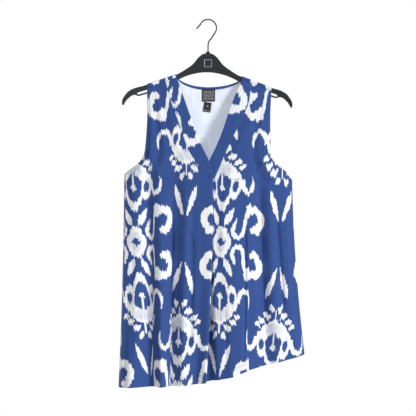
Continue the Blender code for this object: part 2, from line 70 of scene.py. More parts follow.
class Signal:
    """A value that varies over a surface: a node's output that takes part in arithmetic."""

    def __init__(self, graph: "Graph", socket: bpy.types.NodeSocket) -> None:
        """Wrap an output socket of the graph's node tree."""
        self.graph = graph
        self.socket = socket

    def math(self, operation: str, *others: Operand, first: bool = True) -> "Signal":
        """Add a Math node.

        Args:
            operation: the Math node's operation.
            others: the remaining operands.
            first: whether this signal is the first operand, or else the last.

        Returns:
            The node's result.
        """
        operands = (self, *others) if first else (*others, self)
        node = self.graph.add("ShaderNodeMath", {"operation": operation}, dict(enumerate(operands)))
        return Signal(self.graph, node.outputs[0])

    def __add__(self, other: Operand) -> "Signal":
        """Sum."""
        return self.math("ADD", other)

    def __radd__(self, other: float) -> "Signal":
        """Sum, number first."""
        return self.math("ADD", other)

    def __sub__(self, other: Operand) -> "Signal":
        """Difference."""
        return self.math("SUBTRACT", other)

    def __rsub__(self, other: float) -> "Signal":
        """Difference, number first."""
        return self.math("SUBTRACT", other, first=False)

    def __mul__(self, other: Operand) -> "Signal":
        """Product."""
        return self.math("MULTIPLY", other)

    def __rmul__(self, other: float) -> "Signal":
        """Product, number first."""
        return self.math("MULTIPLY", other)

    def __truediv__(self, other: Operand) -> "Signal":
        """Quotient."""
        return self.math("DIVIDE", other)

    def __pow__(self, power: float) -> "Signal":
        """Power."""
        return self.math("POWER", power)

    def __neg__(self) -> "Signal":
        """Opposite."""
        return self.math("MULTIPLY", -1.0)

    def __abs__(self) -> "Signal":
        """Size without its sign."""
        return self.math("ABSOLUTE")

    def __or__(self, other: Operand) -> "Signal":
        """Union of two shapes: the larger of two depths."""
        return self.math("MAXIMUM", other)

    def __and__(self, other: Operand) -> "Signal":
        """Common part of two shapes: the smaller of two depths."""
        return self.math("MINIMUM", other)

    def floor(self) -> "Signal":
        """Whole number at or below."""
        return self.math("FLOOR")

    def root(self) -> "Signal":
        """Square root."""
        return self.math("SQRT")

    def sine(self) -> "Signal":
        """Sine of radians."""
        return self.math("SINE")

    def folded(self, length: float) -> "Signal":
        """Distance to the nearest even multiple of a length."""
        return self.math("PINGPONG", length)

    def clamped(self) -> "Signal":
        """Held between 0 and 1."""
        node = self.graph.add("ShaderNodeClamp", {}, {"Value": self})
        return Signal(self.graph, node.outputs[0])

    def mask(self, softness: float) -> "Signal":
        """1 where the depth is over zero, 0 where it is under, across an edge of a softness."""
        return (self / softness + 0.5).clamped()


class Graph:
    """Node tree of one material."""

    def __init__(self, name: str) -> None:
        """Start a material with a Principled shader and its output."""
        self.material = bpy.data.materials.new(name)
        self.material.use_nodes = True
        self.tree = self.material.node_tree
        self.shader = self.tree.nodes["Principled BSDF"]

    def add(self, kind: str, settings: dict, values: dict) -> bpy.types.Node:
        """Add a node.

        Args:
            kind: the node's type.
            settings: its attributes, set before its sockets. "points" fills a float curve with
                (x, y) pairs.
            values: numbers, colours, sockets or signals of its inputs, by name or number.

        Returns:
            The new node.
        """
        node = self.tree.nodes.new(kind)
        for setting, value in settings.items():
            if setting == "points":
                self._fill_curve(node, value)
            else:
                setattr(node, setting, value)
        for key, value in values.items():
            target = node.inputs[key]
            if isinstance(value, Signal):
                self.tree.links.new(value.socket, target)
            elif isinstance(value, bpy.types.NodeSocket):
                self.tree.links.new(value, target)
            else:
                target.default_value = value
        return node

    @staticmethod
    def _fill_curve(node: bpy.types.Node, points: Sequence[tuple[float, float]]) -> None:
        """Give a float curve straight runs between points."""
        curve = node.mapping.curves[0]
        while len(curve.points) < len(points):
            curve.points.new(0.5, 0.5)
        for knot, place in zip(curve.points, points):
            knot.location = place
            knot.handle_type = "VECTOR"
        node.mapping.update()

    def signal(self, kind: str, settings: dict, values: dict, output: str | int = 0) -> Signal:
        """Add a node and take one of its outputs as a signal."""
        return Signal(self, self.add(kind, settings, values).outputs[output])

    def flat_cloth(self, layer: str) -> tuple[Signal, Signal]:
        """The two coordinates of a flat layer of the mesh, in millimetres."""
        place = self.add("ShaderNodeUVMap", {"uv_map": layer}, {})
        parts = self.add("ShaderNodeSeparateXYZ", {}, {0: place.outputs[0]})
        across, along = (Signal(self, parts.outputs[axis]) for axis in (0, 1))
        return across * MILLIMETRES, along * MILLIMETRES

    def colour_mix(
        self,
        factor: Operand,
        low: Union[Colour, bpy.types.NodeSocket],
        high: Union[Colour, bpy.types.NodeSocket],
    ) -> bpy.types.NodeSocket:
        """Colour between two colours, by a factor."""
        ends = [(*end, 1.0) if isinstance(end, tuple) else end for end in (low, high)]
        node = self.add(
            "ShaderNodeMix", {"data_type": "RGBA"}, {0: factor, 6: ends[0], 7: ends[1]}
        )
        return node.outputs[2]

    def noise(
        self, across: Signal, along: Signal, size: tuple[float, float], detail: float = 2.0
    ) -> Signal:
        """Smooth noise from 0 to 1, whose blots are as large as size, in millimetres."""
        place = self.add("ShaderNodeCombineXYZ", {}, {0: across / size[0], 1: along / size[1]})
        values = {"Vector": place.outputs[0], "Scale": 1.0, "Detail": detail}
        return self.signal("ShaderNodeTexNoise", {"noise_dimensions": "2D"}, values)

    def chance(self, step: Signal) -> Signal:
        """Random number from 0 to 1 for each whole step."""
        return self.signal("ShaderNodeTexWhiteNoise", {"noise_dimensions": "1D"}, {"W": step}, "Value")

    def bump(self, height: Signal, distance: float, strength: float) -> None:
        """Feed the shader's normal from a height, in units of a distance in metres."""
        values = {"Height": height, "Distance": distance, "Strength": strength}
        node = self.add("ShaderNodeBump", {}, values)
        self.tree.links.new(node.outputs[0], self.shader.inputs["Normal"])

    def finish(
        self,
        colour: bpy.types.NodeSocket,
        roughness: Operand,
        constants: dict,
        painted_glow: float = 0.0,
    ) -> bpy.types.Material:
        """Feed the shader.

        Args:
            colour: its base colour.
            roughness: a signal or a number.
            constants: other shader inputs that are the same all over.
            painted_glow: strength of a painted glow, the base colour shown as emission in place of light
                through thin cloth.

        Returns:
            The finished material.
        """
        self.tree.links.new(colour, self.shader.inputs["Base Color"])
        if isinstance(roughness, Signal):
            self.tree.links.new(roughness.socket, self.shader.inputs["Roughness"])
        else:
            self.shader.inputs["Roughness"].default_value = roughness
        for name, value in constants.items():
            self.shader.inputs[name].default_value = value
        # Painted light: the base colour glows as emission, standing in for light coming through thin
        # cloth.
        if painted_glow:
            self.tree.links.new(colour, self.shader.inputs["Emission Color"])
            self.shader.inputs["Emission Strength"].default_value = painted_glow
        return self.material


# --------------------------------------------------------------------------------------------
# The ikat print
# --------------------------------------------------------------------------------------------


@dataclass(frozen=True)
class IkatRepeat:
    """Half-drop repeat of a pomegranate ikat, in millimetres of flat cloth.

    Every motif is the same on both sides of a medallion and above and below it, so a quarter
    of it is drawn: dx out from its middle line and dy away from the medallion.
    """

    half_width: float = 150.0
    half_height: float = 382.5
    medallion_height: float = -554.5
    border_middle: float = 75.0
    border_reach: float = 37.5
    border_slope: float = 0.566
    strip: float = 2.4
    strip_shift: float = 3.4
    thread: float = 0.7
    thread_shift: float = 1.6
    edge: float = 0.9
    shoulder_ease: float = 12.5

    def fold_to_motif(
        self, graph: Graph, across: Signal, along: Signal
    ) -> tuple[Signal, Signal]:
        """Quarter-motif coordinates of a place on the cloth.

        Args:
            graph: the material's nodes.
            across: flat width, in millimetres.
            along: flat height, in millimetres.

        Returns:
            dx and dy, from the middle of the motif that the place belongs to.
        """
        strip = (across / self.strip).floor()
        thread = (across / self.thread).floor()
        stepped = (strip + 0.5) * self.strip * 0.75 + (thread + 0.5) * self.thread * 0.25
        slip = (graph.chance(strip) - 0.5) * (2 * self.strip_shift)
        fray = (graph.chance(thread + 0.37) - 0.5) * (2 * self.thread_shift)
        height = along - self.medallion_height + slip + fray
        dx = stepped.folded(self.half_width)
        dy = height.folded(self.half_height)
        slope = (self.half_height / 2 - dy) * self.border_slope
        border = ((slope | -self.border_reach) & self.border_reach) + self.border_middle
        other = dx.math("GREATER_THAN", border)
        ease = height.math("GREATER_THAN", 0.0) * self.shoulder_ease
        dx = dx + other * (self.half_width - 2 * dx)
        dy = dy + other * (self.half_height + ease - 2 * dy)
        return dx, dy


class IkatMotif:
    """Depths of the motif's parts: over zero inside, in millimetres."""

    def __init__(self, graph: Graph, dx: Signal, dy: Signal) -> None:
        """Draw on the quarter-motif coordinates."""
        self.graph = graph
        self.dx = dx
        self.dy = dy

    def oval(self, x: float, y: float, half_x: float, half_y: float, tilt: float = 0.0) -> Signal:
        """Depth inside an ellipse.

        Args:
            x: its middle, out from the middle line.
            y: its middle, away from the medallion.
            half_x: half its width.
            half_y: half its height.
            tilt: degrees that its top leans outwards.

        Returns:
            The depth, in millimetres.
        """
        right, up = self.dx - x, self.dy - y
        if tilt:
            cos, sin = math.cos(math.radians(tilt)), math.sin(math.radians(tilt))
            right, up = right * cos - up * sin, right * sin + up * cos
        right, up = right / half_x, up / half_y
        return (1.0 - (right * right + up * up).root()) * min(half_x, half_y)

    def leaf(
        self, start: tuple[float, float], end: tuple[float, float], half: float, blunt: float = 0.5
    ) -> Signal:
        """Depth inside a leaf that runs from start to end, widest at blunt of its length."""
        length = math.hypot(end[0] - start[0], end[1] - start[1])
        ux, uy = (end[0] - start[0]) / length, (end[1] - start[1]) / length
        right, up = self.dx - start[0], self.dy - start[1]
        along = (right * ux + up * uy) / length
        away = abs(right * uy - up * ux)
        rise = (along / blunt) & ((1.0 - along) / (1.0 - blunt))
        return (rise | -1.0) * half * (2.0 - (rise & 1.0)) - away

    def bar(self, half: float, low: float, high: float) -> Signal:
        """Depth inside an upright bar on the middle line."""
        return (half - self.dx) & (self.dy - low) & (high - self.dy)

    def profile(self, shape: Sequence[tuple[float, float]], widest: float) -> Signal:
        """Depth inside a form given by its half-width at each height.

        Args:
            shape: (height, half-width) pairs, upwards.
            widest: a half-width that none of them passes.

        Returns:
            The depth, in millimetres.
        """
        low, high = shape[0][0], shape[-1][0]
        points = [((y - low) / (high - low), half / widest) for y, half in shape]
        share = (self.dy - low) / (high - low)
        half = self.graph.signal("ShaderNodeFloatCurve", {"points": points}, {"Value": share}, 0)
        return (half * widest - self.dx) & (self.dy - low) & (high - self.dy)

    def scroll(self, x: float, y: float, radius: float, half: float, stretch: float = 1.0) -> Signal:
        """Depth inside a ring of a radius and half a stroke, taller than wide by stretch."""
        right, up = self.dx - x, (self.dy - y) / stretch
        return half - abs((right * right + up * up).root() - radius)

    def medallion(self) -> Signal:
        """Stepped round medallion with a dark star in its heart."""
        body = self.oval(0, 0, 24, 29.5)
        tabs = self.bar(10, -5, 38) | self.bar(14.5, -5, 32)
        star = 9.0 - (self.dx ** 0.8 + self.dy ** 0.8) ** 1.05
        return (body | tabs) & -star

    def pomegranate(self) -> Signal:
        """Tall fruit with a hollow heart, a rod and a diamond in it."""
        outer = self.profile(
            ((77, 7), (86, 10), (98, 16.5), (113, 19.5), (130, 21), (146, 22.5), (154, 25),
             (163, 33), (180, 32), (192, 20.5), (204, 2)), 40
        )
        inner = self.profile(
            ((99, 3), (105, 10), (114, 14.5), (128, 17.5), (145, 20), (152, 20.5), (160, 14),
             (169, 4), (174, 0)), 40
        )
        rod = self.bar(2.2, 134, 174) | (9.5 - self.dx * 1.15 - abs(self.dy - 134)) * 0.7
        return (outer & -inner) | rod

    def side_lobe(self) -> Signal:
        """Lobe beside the fruit, with a dark eye and a curl outside it."""
        lobe = self.oval(30.5, 139, 11.5, 33.5, 8)
        eye = self.oval(29.5, 138, 6.6, 14, 6)
        hood = self.oval(61, 145, 20.5, 29.5) & -self.oval(62.5, 155, 13.5, 28)
        curl = hood & (162 - self.dy - (70 - self.dx) * 0.35)
        return (lobe & -eye) | curl

    def scrolls(self) -> Signal:
        """Small hook by the medallion and the big scroll outside it."""
        arch = self.oval(39.5, 30, 17, 24) & -self.oval(40, 38, 9.5, 21) & (36 - self.dy)
        inner_leg = self.leaf((26, 26), (35, 58), 4.6, 0.25)
        outer_leg = self.leaf((52, 22), (59, 84), 4.4, 0.45)
        corner = self.oval(67, 85, 11.5, 9.5, -25)
        ring = self.scroll(82.5, 59, 20, 8.4, 1.12)
        big = ring & (self.dy - 62 | self.dx - 88)
        inner_end = self.oval(87, 31, 12.5, 9.5, 10)
        return arch | inner_leg | outer_leg | corner | big | inner_end

    def greenery(self) -> Signal:
        """Leaves, stem, petals and seeds."""
        short_leaf = self.leaf((8.5, 41), (28, 85), 7.6, 0.36)
        stem = self.bar(1.8, 200, 226)
        petals = self.oval(10.5, 231, 5.6, 9.5, 22)
        seeds = self.leaf((10, 206), (30, 217), 7.4, 0.6)
        seeds = seeds | self.leaf((24, 192), (42, 203), 6.4, 0.6)
        seeds = seeds | self.leaf((35, 180), (50, 190), 5.6, 0.6)
        long_leaf = self.leaf((28, 253), (4, 332), 6.6, 0.4)
        return short_leaf | stem | petals | seeds | long_leaf

    def whole(self) -> Signal:
        """Depth of the whole motif."""
        fruit = self.medallion() | self.pomegranate() | self.side_lobe()
        return fruit | self.scrolls() | self.greenery()

    def greyed(self) -> Signal:
        """Depth of the parts where the warp shows grey through the white."""
        halo = 2.5 - abs(self.oval(0, 0, 9.5, 19))
        return halo | self.oval(32, 150, 5, 11, 8) | self.oval(0, 178, 20, 16)


# --------------------------------------------------------------------------------------------
# Finishes
# --------------------------------------------------------------------------------------------


class Side(Enum):
    """Which side of the cloth a finish is for."""

    FACE = "face"
    REVERSE = "reverse"


@dataclass(frozen=True)
class Stitching:
    """Rows of machine stitches beside a turned edge, in millimetres."""

    hem_rows: tuple[float, ...] = (17.5, 21.0)
    armhole_rows: tuple[float, ...] = (7.5,)
    half_row: float = 0.45
    pitch: float = 3.1
    thread_share: float = 0.72
    hem_turn: float = 22.0
    armhole_turn: float = 9.0

    def rows(self, distance: Signal, places: Sequence[float]) -> Signal:
        """Depth inside any of the rows."""
        found = self.half_row - abs(distance - places[0])
        for place in places[1:]:
            found = found | (self.half_row - abs(distance - place))
        return found

    def threads(self, distance: Signal, along: Signal) -> Signal:
        """Mask of the stitches. The distance is over zero at a hem, under zero at an armhole."""
        rows = self.rows(distance, self.hem_rows) | self.rows(-distance, self.armhole_rows)
        beat = (along / self.pitch).math("FRACT")
        dash = (self.thread_share - beat) * self.pitch
        return (rows & dash).mask(0.3)

    def turned(self, distance: Signal) -> Signal:
        """Mask of the cloth that is turned under and so lies double."""
        hem = (self.hem_turn - distance) & (distance + 0.05)
        armhole = (self.armhole_turn + distance) & (0.05 - distance)
        return (hem | armhole).mask(1.2)


@dataclass(frozen=True)
class PrintedJersey:
    """Fine jersey with a white warp print on blue. The print ghosts through to the back, whose colour
    also glows with painted light.
    """

    name: str
    side: Side
    ground: Colour = (0.034, 0.084, 0.288)
    ground_deep: Colour = (0.025, 0.066, 0.240)
    white: Colour = (0.88, 0.895, 0.92)
    white_worn: Colour = (0.42, 0.47, 0.60)
    reverse: Colour = (0.67, 0.71, 0.775)
    reverse_ghost: Colour = (0.57, 0.612, 0.69)
    roughness: float = 0.82
    wale: float = 0.85
    course: float = 0.62
    blank_under: float = -5000.0
    # Painted light: strength of the reverse's glow, emission standing in for light through thin cloth.
    painted_glow: float = 0.36
    repeat: IkatRepeat = field(default_factory=IkatRepeat)
    stitching: Stitching = field(default_factory=Stitching)

    def knit(self, graph: Graph, across: Signal, along: Signal) -> Signal:
        """Height of the knit loops, from 0 to 1: wales on the face, courses on the back."""
        if self.side is Side.FACE:
            slant = abs((across / self.wale).math("FRACT") - 0.5) * 1.2
            loops = ((along / self.course + slant) * math.tau).sine()
            ribs = (across / self.wale * math.tau).sine()
            return loops * 0.3 + ribs * 0.35 + 0.5
        purl = ((along / self.course) * math.tau).sine()
        sway = ((across / self.wale) * math.pi).sine()
        return purl * sway * 0.4 + 0.5

    def build(self) -> bpy.types.Material:
        """Make the material.

        Returns:
            The finished material.
        """
        graph = Graph(self.name)
        across, along = graph.flat_cloth("print")
        distance, around = graph.flat_cloth("edge")
        dx, dy = self.repeat.fold_to_motif(graph, across, along)
        motif = IkatMotif(graph, dx, dy)
        printed = (motif.whole() & (along - self.blank_under)).mask(self.repeat.edge)

        streaks = graph.noise(across, along, (1.1, 26.0))
        blots = graph.noise(across, along, (34.0, 60.0))
        knit = self.knit(graph, across, along)
        stitches = self.stitching.threads(distance, around)
        turned = self.stitching.turned(distance)

        if self.side is Side.FACE:
            uneven = (streaks * 0.7 + blots * 0.5).clamped()
            ground = graph.colour_mix(uneven, self.ground_deep, self.ground)
            worn = ((streaks - 0.56) * 3.4).clamped() * 0.35
            worn = (worn + motif.greyed().mask(3.0) * (streaks * 1.5 - 0.35).clamped()).clamped()
            white = graph.colour_mix(worn, self.white, self.white_worn)
            colour = graph.colour_mix(printed, ground, white)
            colour = graph.colour_mix(stitches * 0.55, colour, self.ground)
            thread_rise = 0.9
        else:
            ghost = (printed * -0.55 + 0.75 + (streaks - 0.5) * 0.5).clamped()
            colour = graph.colour_mix(ghost, self.reverse, self.reverse_ghost)
            colour = graph.colour_mix(stitches * 0.7, colour, self.ground)
            thread_rise = 0.7

        height = knit * 0.16 + turned * 0.9 + stitches * thread_rise + streaks * 0.05
        graph.bump(height, 0.0004, 0.55)
        roughness = streaks * 0.08 + blots * 0.05 + (self.roughness - 0.06)
        constants = {
            "Sheen Weight": 0.12,
            "Sheen Roughness": 0.45,
            "Specular IOR Level": 0.28,
        }
        # Painted light: only the reverse glows, in its own colour.
        through = 0.0 if self.side is Side.FACE else self.painted_glow
        return graph.finish(colour, roughness, constants, through)


@dataclass(frozen=True)
class WovenTape:
    """Black damask label tape with a woven border and a small plain figure."""

    name: str
    ground: Colour = (0.011, 0.011, 0.013)
    raised: Colour = (0.045, 0.045, 0.05)
    pale: Colour = (0.55, 0.55, 0.57)
    width: float = 33.0
    height: float = 31.0
    rim: float = 2.2
    pale_dot: float = 0.0
    pale_line: float = 0.0
    pale_rings: float = 0.0

    def build(self) -> bpy.types.Material:
        """Make the material.

        Returns:
            The finished material.
        """
        graph = Graph(self.name)
        across, along = graph.flat_cloth("print")
        inside = (self.width / 2 - abs(across - self.width / 2)) & (
            self.height / 2 - abs(along - self.height / 2)
        )
        border = (0.35 - abs(inside - self.rim)).mask(0.25)
        twill = ((across + along) / 0.7 * math.tau).sine() * 0.5 + 0.5
        weft = (along / 0.32 * math.tau).sine() * 0.5 + 0.5
        lozenge = abs((across / 3.4).folded(1.0) - 0.5) + abs((along / 3.4).folded(1.0) - 0.5)
        figure = (0.42 - lozenge).mask(0.12) * (inside - self.rim - 1.0).mask(0.4)
        colour = graph.colour_mix((figure * 0.55 + border).clamped(), self.ground, self.raised)
        rings = (0.10 - abs(lozenge - 0.36)).mask(0.08) * (inside - self.rim - 1.0).mask(0.4)
        colour = graph.colour_mix(rings * self.pale_rings, colour, self.pale)
        if self.pale_dot:
            right, up = across - self.width / 2, along - self.height * 0.6
            dot = (self.pale_dot - (right * right + up * up).root()).mask(0.3)
            colour = graph.colour_mix(dot, colour, self.pale)
        if self.pale_line:
            line = (0.5 - abs(along - self.pale_line)) & (inside - self.rim)
            colour = graph.colour_mix(line.mask(0.3) * 0.8, colour, self.pale)
        fray = graph.noise(across, along, (0.5, 5.0))
        graph.bump(twill * 0.25 + weft * 0.4 + border + figure * 0.4, 0.00025, 0.5)
        constants = {"Sheen Weight": 0.1, "Specular IOR Level": 0.35}
        return graph.finish(colour, fray * 0.2 + 0.5, constants)


@dataclass(frozen=True)
class MouldedPlastic:
    """Black satin plastic, faintly textured by its mould and rubbed along the edges."""

    name: str
    base: Colour = (0.0068, 0.0080, 0.0125)
    rubbed: Colour = (0.020, 0.022, 0.029)
    roughness: float = 0.36
    metallic: float = 0.0

    def build(self) -> bpy.types.Material:
        """Make the material.

        Returns:
            The finished material.
        """
        graph = Graph(self.name)
        place = graph.add("ShaderNodeTexCoord", {}, {}).outputs["Object"]
        grain = graph.signal("ShaderNodeTexNoise", {}, {"Vector": place, "Scale": 900.0, "Detail": 3.0})
        cloudy = graph.signal("ShaderNodeTexNoise", {}, {"Vector": place, "Scale": 35.0, "Detail": 4.0})
        edges = graph.add("ShaderNodeNewGeometry", {}, {}).outputs["Pointiness"]
        rub = ((Signal(graph, edges) - 0.52) * 9.0).clamped() * cloudy
        scuffs = ((cloudy - 0.58) * 5.0).clamped() * 0.25
        colour = graph.colour_mix((rub + scuffs).clamped(), self.base, self.rubbed)
        graph.bump(grain * 0.6 + cloudy * 0.4, 0.0001, 0.35)
        roughness = cloudy * 0.16 + (self.roughness - 0.07) + rub * 0.1
        return graph.finish(colour, roughness, {"Metallic": self.metallic, "Specular IOR Level": 0.5})


@dataclass(frozen=True)
class StudioPaper:
    """Seamless pale paper of the stage."""

    name: str
    shade: Colour = (0.93, 0.93, 0.93)
    shade_low: Colour = (0.905, 0.905, 0.91)

    def build(self) -> bpy.types.Material:
        """Make the material.

        Returns:
            The finished material.
        """
        graph = Graph(self.name)
        place = graph.add("ShaderNodeTexCoord", {}, {}).outputs["Object"]
        tooth = graph.signal("ShaderNodeTexNoise", {}, {"Vector": place, "Scale": 220.0})
        colour = graph.colour_mix(tooth, self.shade, self.shade_low)
        return graph.finish(colour, tooth * 0.05 + 0.85, {"Specular IOR Level": 0.1})


# --------------------------------------------------------------------------------------------
# Cloth forms
# --------------------------------------------------------------------------------------------


@dataclass(frozen=True)
class Fold:
    """Line of a fold: where it runs at the chest, halfway down and at the hem."""

    x_chest: float
    x_waist: float
    x_hem: float
    y_chest: float
    y_waist: float
    y_hem: float
    strips: int = 10


@dataclass(frozen=True)
class GrainLine:
    """Line down the hanging cloth: (height, x, flat width there) for a few heights.

    Where two lines lie close together and their flat widths far apart, the cloth between them
    is taken in by a trough.
    """

    path: tuple[tuple[float, float, float], ...]

    def at(self, z: np.ndarray) -> tuple[np.ndarray, np.ndarray]:
        """Its x and its flat width at each of the heights."""
        heights, places, flats = zip(*sorted(self.path))
        return np.interp(z, heights, places), np.interp(z, heights, flats)


@dataclass(frozen=True)
class Crease:
    """Soft ridge, or a trough if its rise is under zero, between two places on a panel."""

    start: tuple[float, float]
    end: tuple[float, float]
    half_width: float
    rise: float
    bend: float = 0.0

    def lift(self, x: np.ndarray, z: np.ndarray) -> np.ndarray:
        """How far the crease lifts each place.

        Args:
            x: places across.
            z: their heights.

        Returns:
            The lift, in metres.
        """
        run, drop = self.end[0] - self.start[0], self.end[1] - self.start[1]
        length = math.hypot(run, drop)
        right, up = x - self.start[0], z - self.start[1]
        share = (right * run + up * drop) / length**2
        bow = self.bend * (1 - (2 * np.clip(share, 0, 1) - 1) ** 2)
        away = (right * drop - up * run) / length - bow
        fade = np.clip(np.minimum(share, 1 - share) * 3.2 + 0.12, 0, 1)
        fade = fade * fade * (3 - 2 * fade)
        return self.rise * fade * np.exp(-((away / self.half_width) ** 2))


def quadratic(start: float, middle: float, end: float, t: np.ndarray) -> np.ndarray:
    """Value at t, from 0 to 1, of the parabola through three evenly spaced values."""
    return start * (1 - t) * (1 - 2 * t) + 4 * middle * t * (1 - t) + end * t * (2 * t - 1)


def along_table(table: Sequence[tuple[float, float]], x: np.ndarray) -> np.ndarray:
    """Value of a table of (x, value) pairs at each x."""
    xs, values = zip(*table)
    return np.interp(x, xs, values)


def smooth_path(places: Sequence[Sequence[float]], count: int) -> np.ndarray:
    """Points spaced evenly along a smooth curve.

    Args:
        places: points that the curve goes through.
        count: how many points are wanted.

    Returns:
        Their coordinates, one row each.
    """
    knots = np.array(places, dtype=float)
    guides = np.vstack([2 * knots[0] - knots[1], knots, 2 * knots[-1] - knots[-2]])
    t = np.linspace(0, 1, 24, endpoint=False)[:, None]
    spans = []
    for a, b, c, d in zip(guides, guides[1:], guides[2:], guides[3:]):
        cubic = -a + 3 * b - 3 * c + d
        square = 2 * a - 5 * b + 4 * c - d
        spans.append(0.5 * (2 * b + (c - a) * t + square * t**2 + cubic * t**3))
    curve = np.vstack([*spans, knots[-1:]])
    along = arc_length(curve)
    wanted = np.linspace(0, along[-1], count)
    return np.stack([np.interp(wanted, along, axis) for axis in curve.T], axis=1)


def arc_length(points: np.ndarray) -> np.ndarray:
    """Length along a row of points, up to each of them."""
    steps = np.linalg.norm(np.diff(points, axis=0), axis=1)
    return np.concatenate([[0.0], np.cumsum(steps)])


def fill(left: np.ndarray, right: np.ndarray, bottom: np.ndarray, top: np.ndarray) -> np.ndarray:
    """Grid of points, rows from bottom to top, that fills four edges with shared corners."""
    across = bottom[:, 0] - bottom[0, 0]
    u = (across / across[-1])[None, :, None]
    v = np.linspace(0, 1, len(left))[:, None, None]
    sides = left[:, None] * (1 - u) + right[:, None] * u
    ends = bottom[None] * (1 - v) + top[None] * v
    low = bottom[0] * (1 - u) + bottom[-1] * u
    high = top[0] * (1 - u) + top[-1] * u
    return sides + ends - low * (1 - v) - high * v


def straight(start: Sequence[float], end: Sequence[float], shares: np.ndarray) -> np.ndarray:
    """Points at the given shares of a straight line."""
    first, last = np.array(start), np.array(end)
    return first + (last - first) * np.asarray(shares)[:, None]


def shares_of(points: np.ndarray) -> np.ndarray:
    """Each point's share of the way across, from 0 to 1."""
    return (points[:, 0] - points[0, 0]) / (points[-1, 0] - points[0, 0])


def flat_across(x: np.ndarray, z: np.ndarray, lines: Sequence[GrainLine]) -> np.ndarray:
    """Flat width of places on hanging cloth, between its grain lines."""
    places, flats = zip(*(line.at(z) for line in lines))
    result = flats[0]
    for k in range(len(lines) - 1):
        share = (x - places[k]) / (places[k + 1] - places[k])
        low = -9 if k == 0 else 0
        high = 9 if k == len(lines) - 2 else 1
        result = result + (flats[k + 1] - flats[k]) * np.clip(share, low, high)
    return result


@dataclass
class Patch:
    """Grid of cloth, rows going up and columns to the right, with its flat coordinates."""

    points: np.ndarray
    flat: np.ndarray
    edge: np.ndarray


class Cloth:
    """Piece of cloth made of patches that share their edges, walled and dressed."""

    def __init__(self, name: str, slot: str, node: str) -> None:
        """Name the piece, its material slot and the solid that it stands for."""
        self.name = name
        self.slot = slot
        self.node = node
        self.patches: list[Patch] = []

    def add(self, points: np.ndarray, flat: np.ndarray, edge: np.ndarray) -> None:
        """Add a grid with its flat coordinates and edge distances."""
        self.patches.append(Patch(points, flat, edge))

    def area(self) -> float:
        """Area of the middle surface, in square metres."""
        total = 0.0
        for patch in self.patches:
            p = patch.points
            first = np.cross(p[:-1, 1:] - p[:-1, :-1], p[1:, :-1] - p[:-1, :-1])
            second = np.cross(p[1:, :-1] - p[1:, 1:], p[:-1, 1:] - p[1:, 1:])
            total += (np.linalg.norm(first, axis=2) + np.linalg.norm(second, axis=2)).sum() / 2
        return total

    def mesh(self) -> bpy.types.Mesh:
        """Join the patches into one mesh with its flat layers."""
        vertices, faces, flats, edges = [], [], [], []
        start = 0
        for patch in self.patches:
            rows, columns = patch.points.shape[:2]
            vertices.append(patch.points.reshape(-1, 3))
            flats.append(patch.flat.reshape(-1, 2))
            edges.append(patch.edge.reshape(-1, 2))
            index = start + np.arange(rows * columns).reshape(rows, columns)
            corners = (index[:-1, :-1], index[:-1, 1:], index[1:, 1:], index[1:, :-1])
            faces.append(np.stack(corners, axis=-1).reshape(-1, 4))
            start += rows * columns
        mesh = bpy.data.meshes.new(self.name)
        mesh.from_pydata(np.vstack(vertices).tolist(), [], np.vstack(faces).tolist())
        corners = np.zeros(len(mesh.loops), dtype=np.int32)
        mesh.loops.foreach_get("vertex_index", corners)
        for layer, values in (("print", flats), ("edge", edges)):
            uv = mesh.uv_layers.new(name=layer)
            uv.data.foreach_set("uv", np.vstack(values)[corners].ravel())
        joined = bmesh.new()
        joined.from_mesh(mesh)
        bmesh.ops.remove_doubles(joined, verts=joined.verts, dist=0.00002)
        joined.to_mesh(mesh)
        joined.free()
        mesh.shade_smooth()
        return mesh

    def build(
        self, wall: float, face: bpy.types.Material, reverse: bpy.types.Material | None = None
    ) -> bpy.types.Object:
        """Make the piece.

        Args:
            wall: the cloth's thickness.
            face: material of the side that the patches face.
            reverse: material of the other side, if it has its own.

        Returns:
            The new object, riding on the body and standing for its solid.
        """
        made = bpy.data.objects.new(self.name, self.mesh())
        bpy.context.scene.collection.objects.link(made)
        made.data.materials.append(face)
        walled = made.modifiers.new("Wall", "SOLIDIFY")
        walled.thickness = wall
        walled.offset = 0.0
        if reverse:
            made.data.materials.append(reverse)
            walled.material_offset = 1
        ride_for(made, self.node)
        return made


def ride_for(made: bpy.types.Object, node: str | None = None) -> None:
    """Let a piece ride on the body, and stand for a solid if one is named."""
    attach(made, BODY)
    if node:
        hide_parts(node)
    log.info("built %s", made.name)


# --------------------------------------------------------------------------------------------
# Hanger
# --------------------------------------------------------------------------------------------


@dataclass(frozen=True)
class Corner:
    """Corner of a flat outline, with the kind of its curve handles."""

    x: float
    z: float
    kind: str = "AUTO"


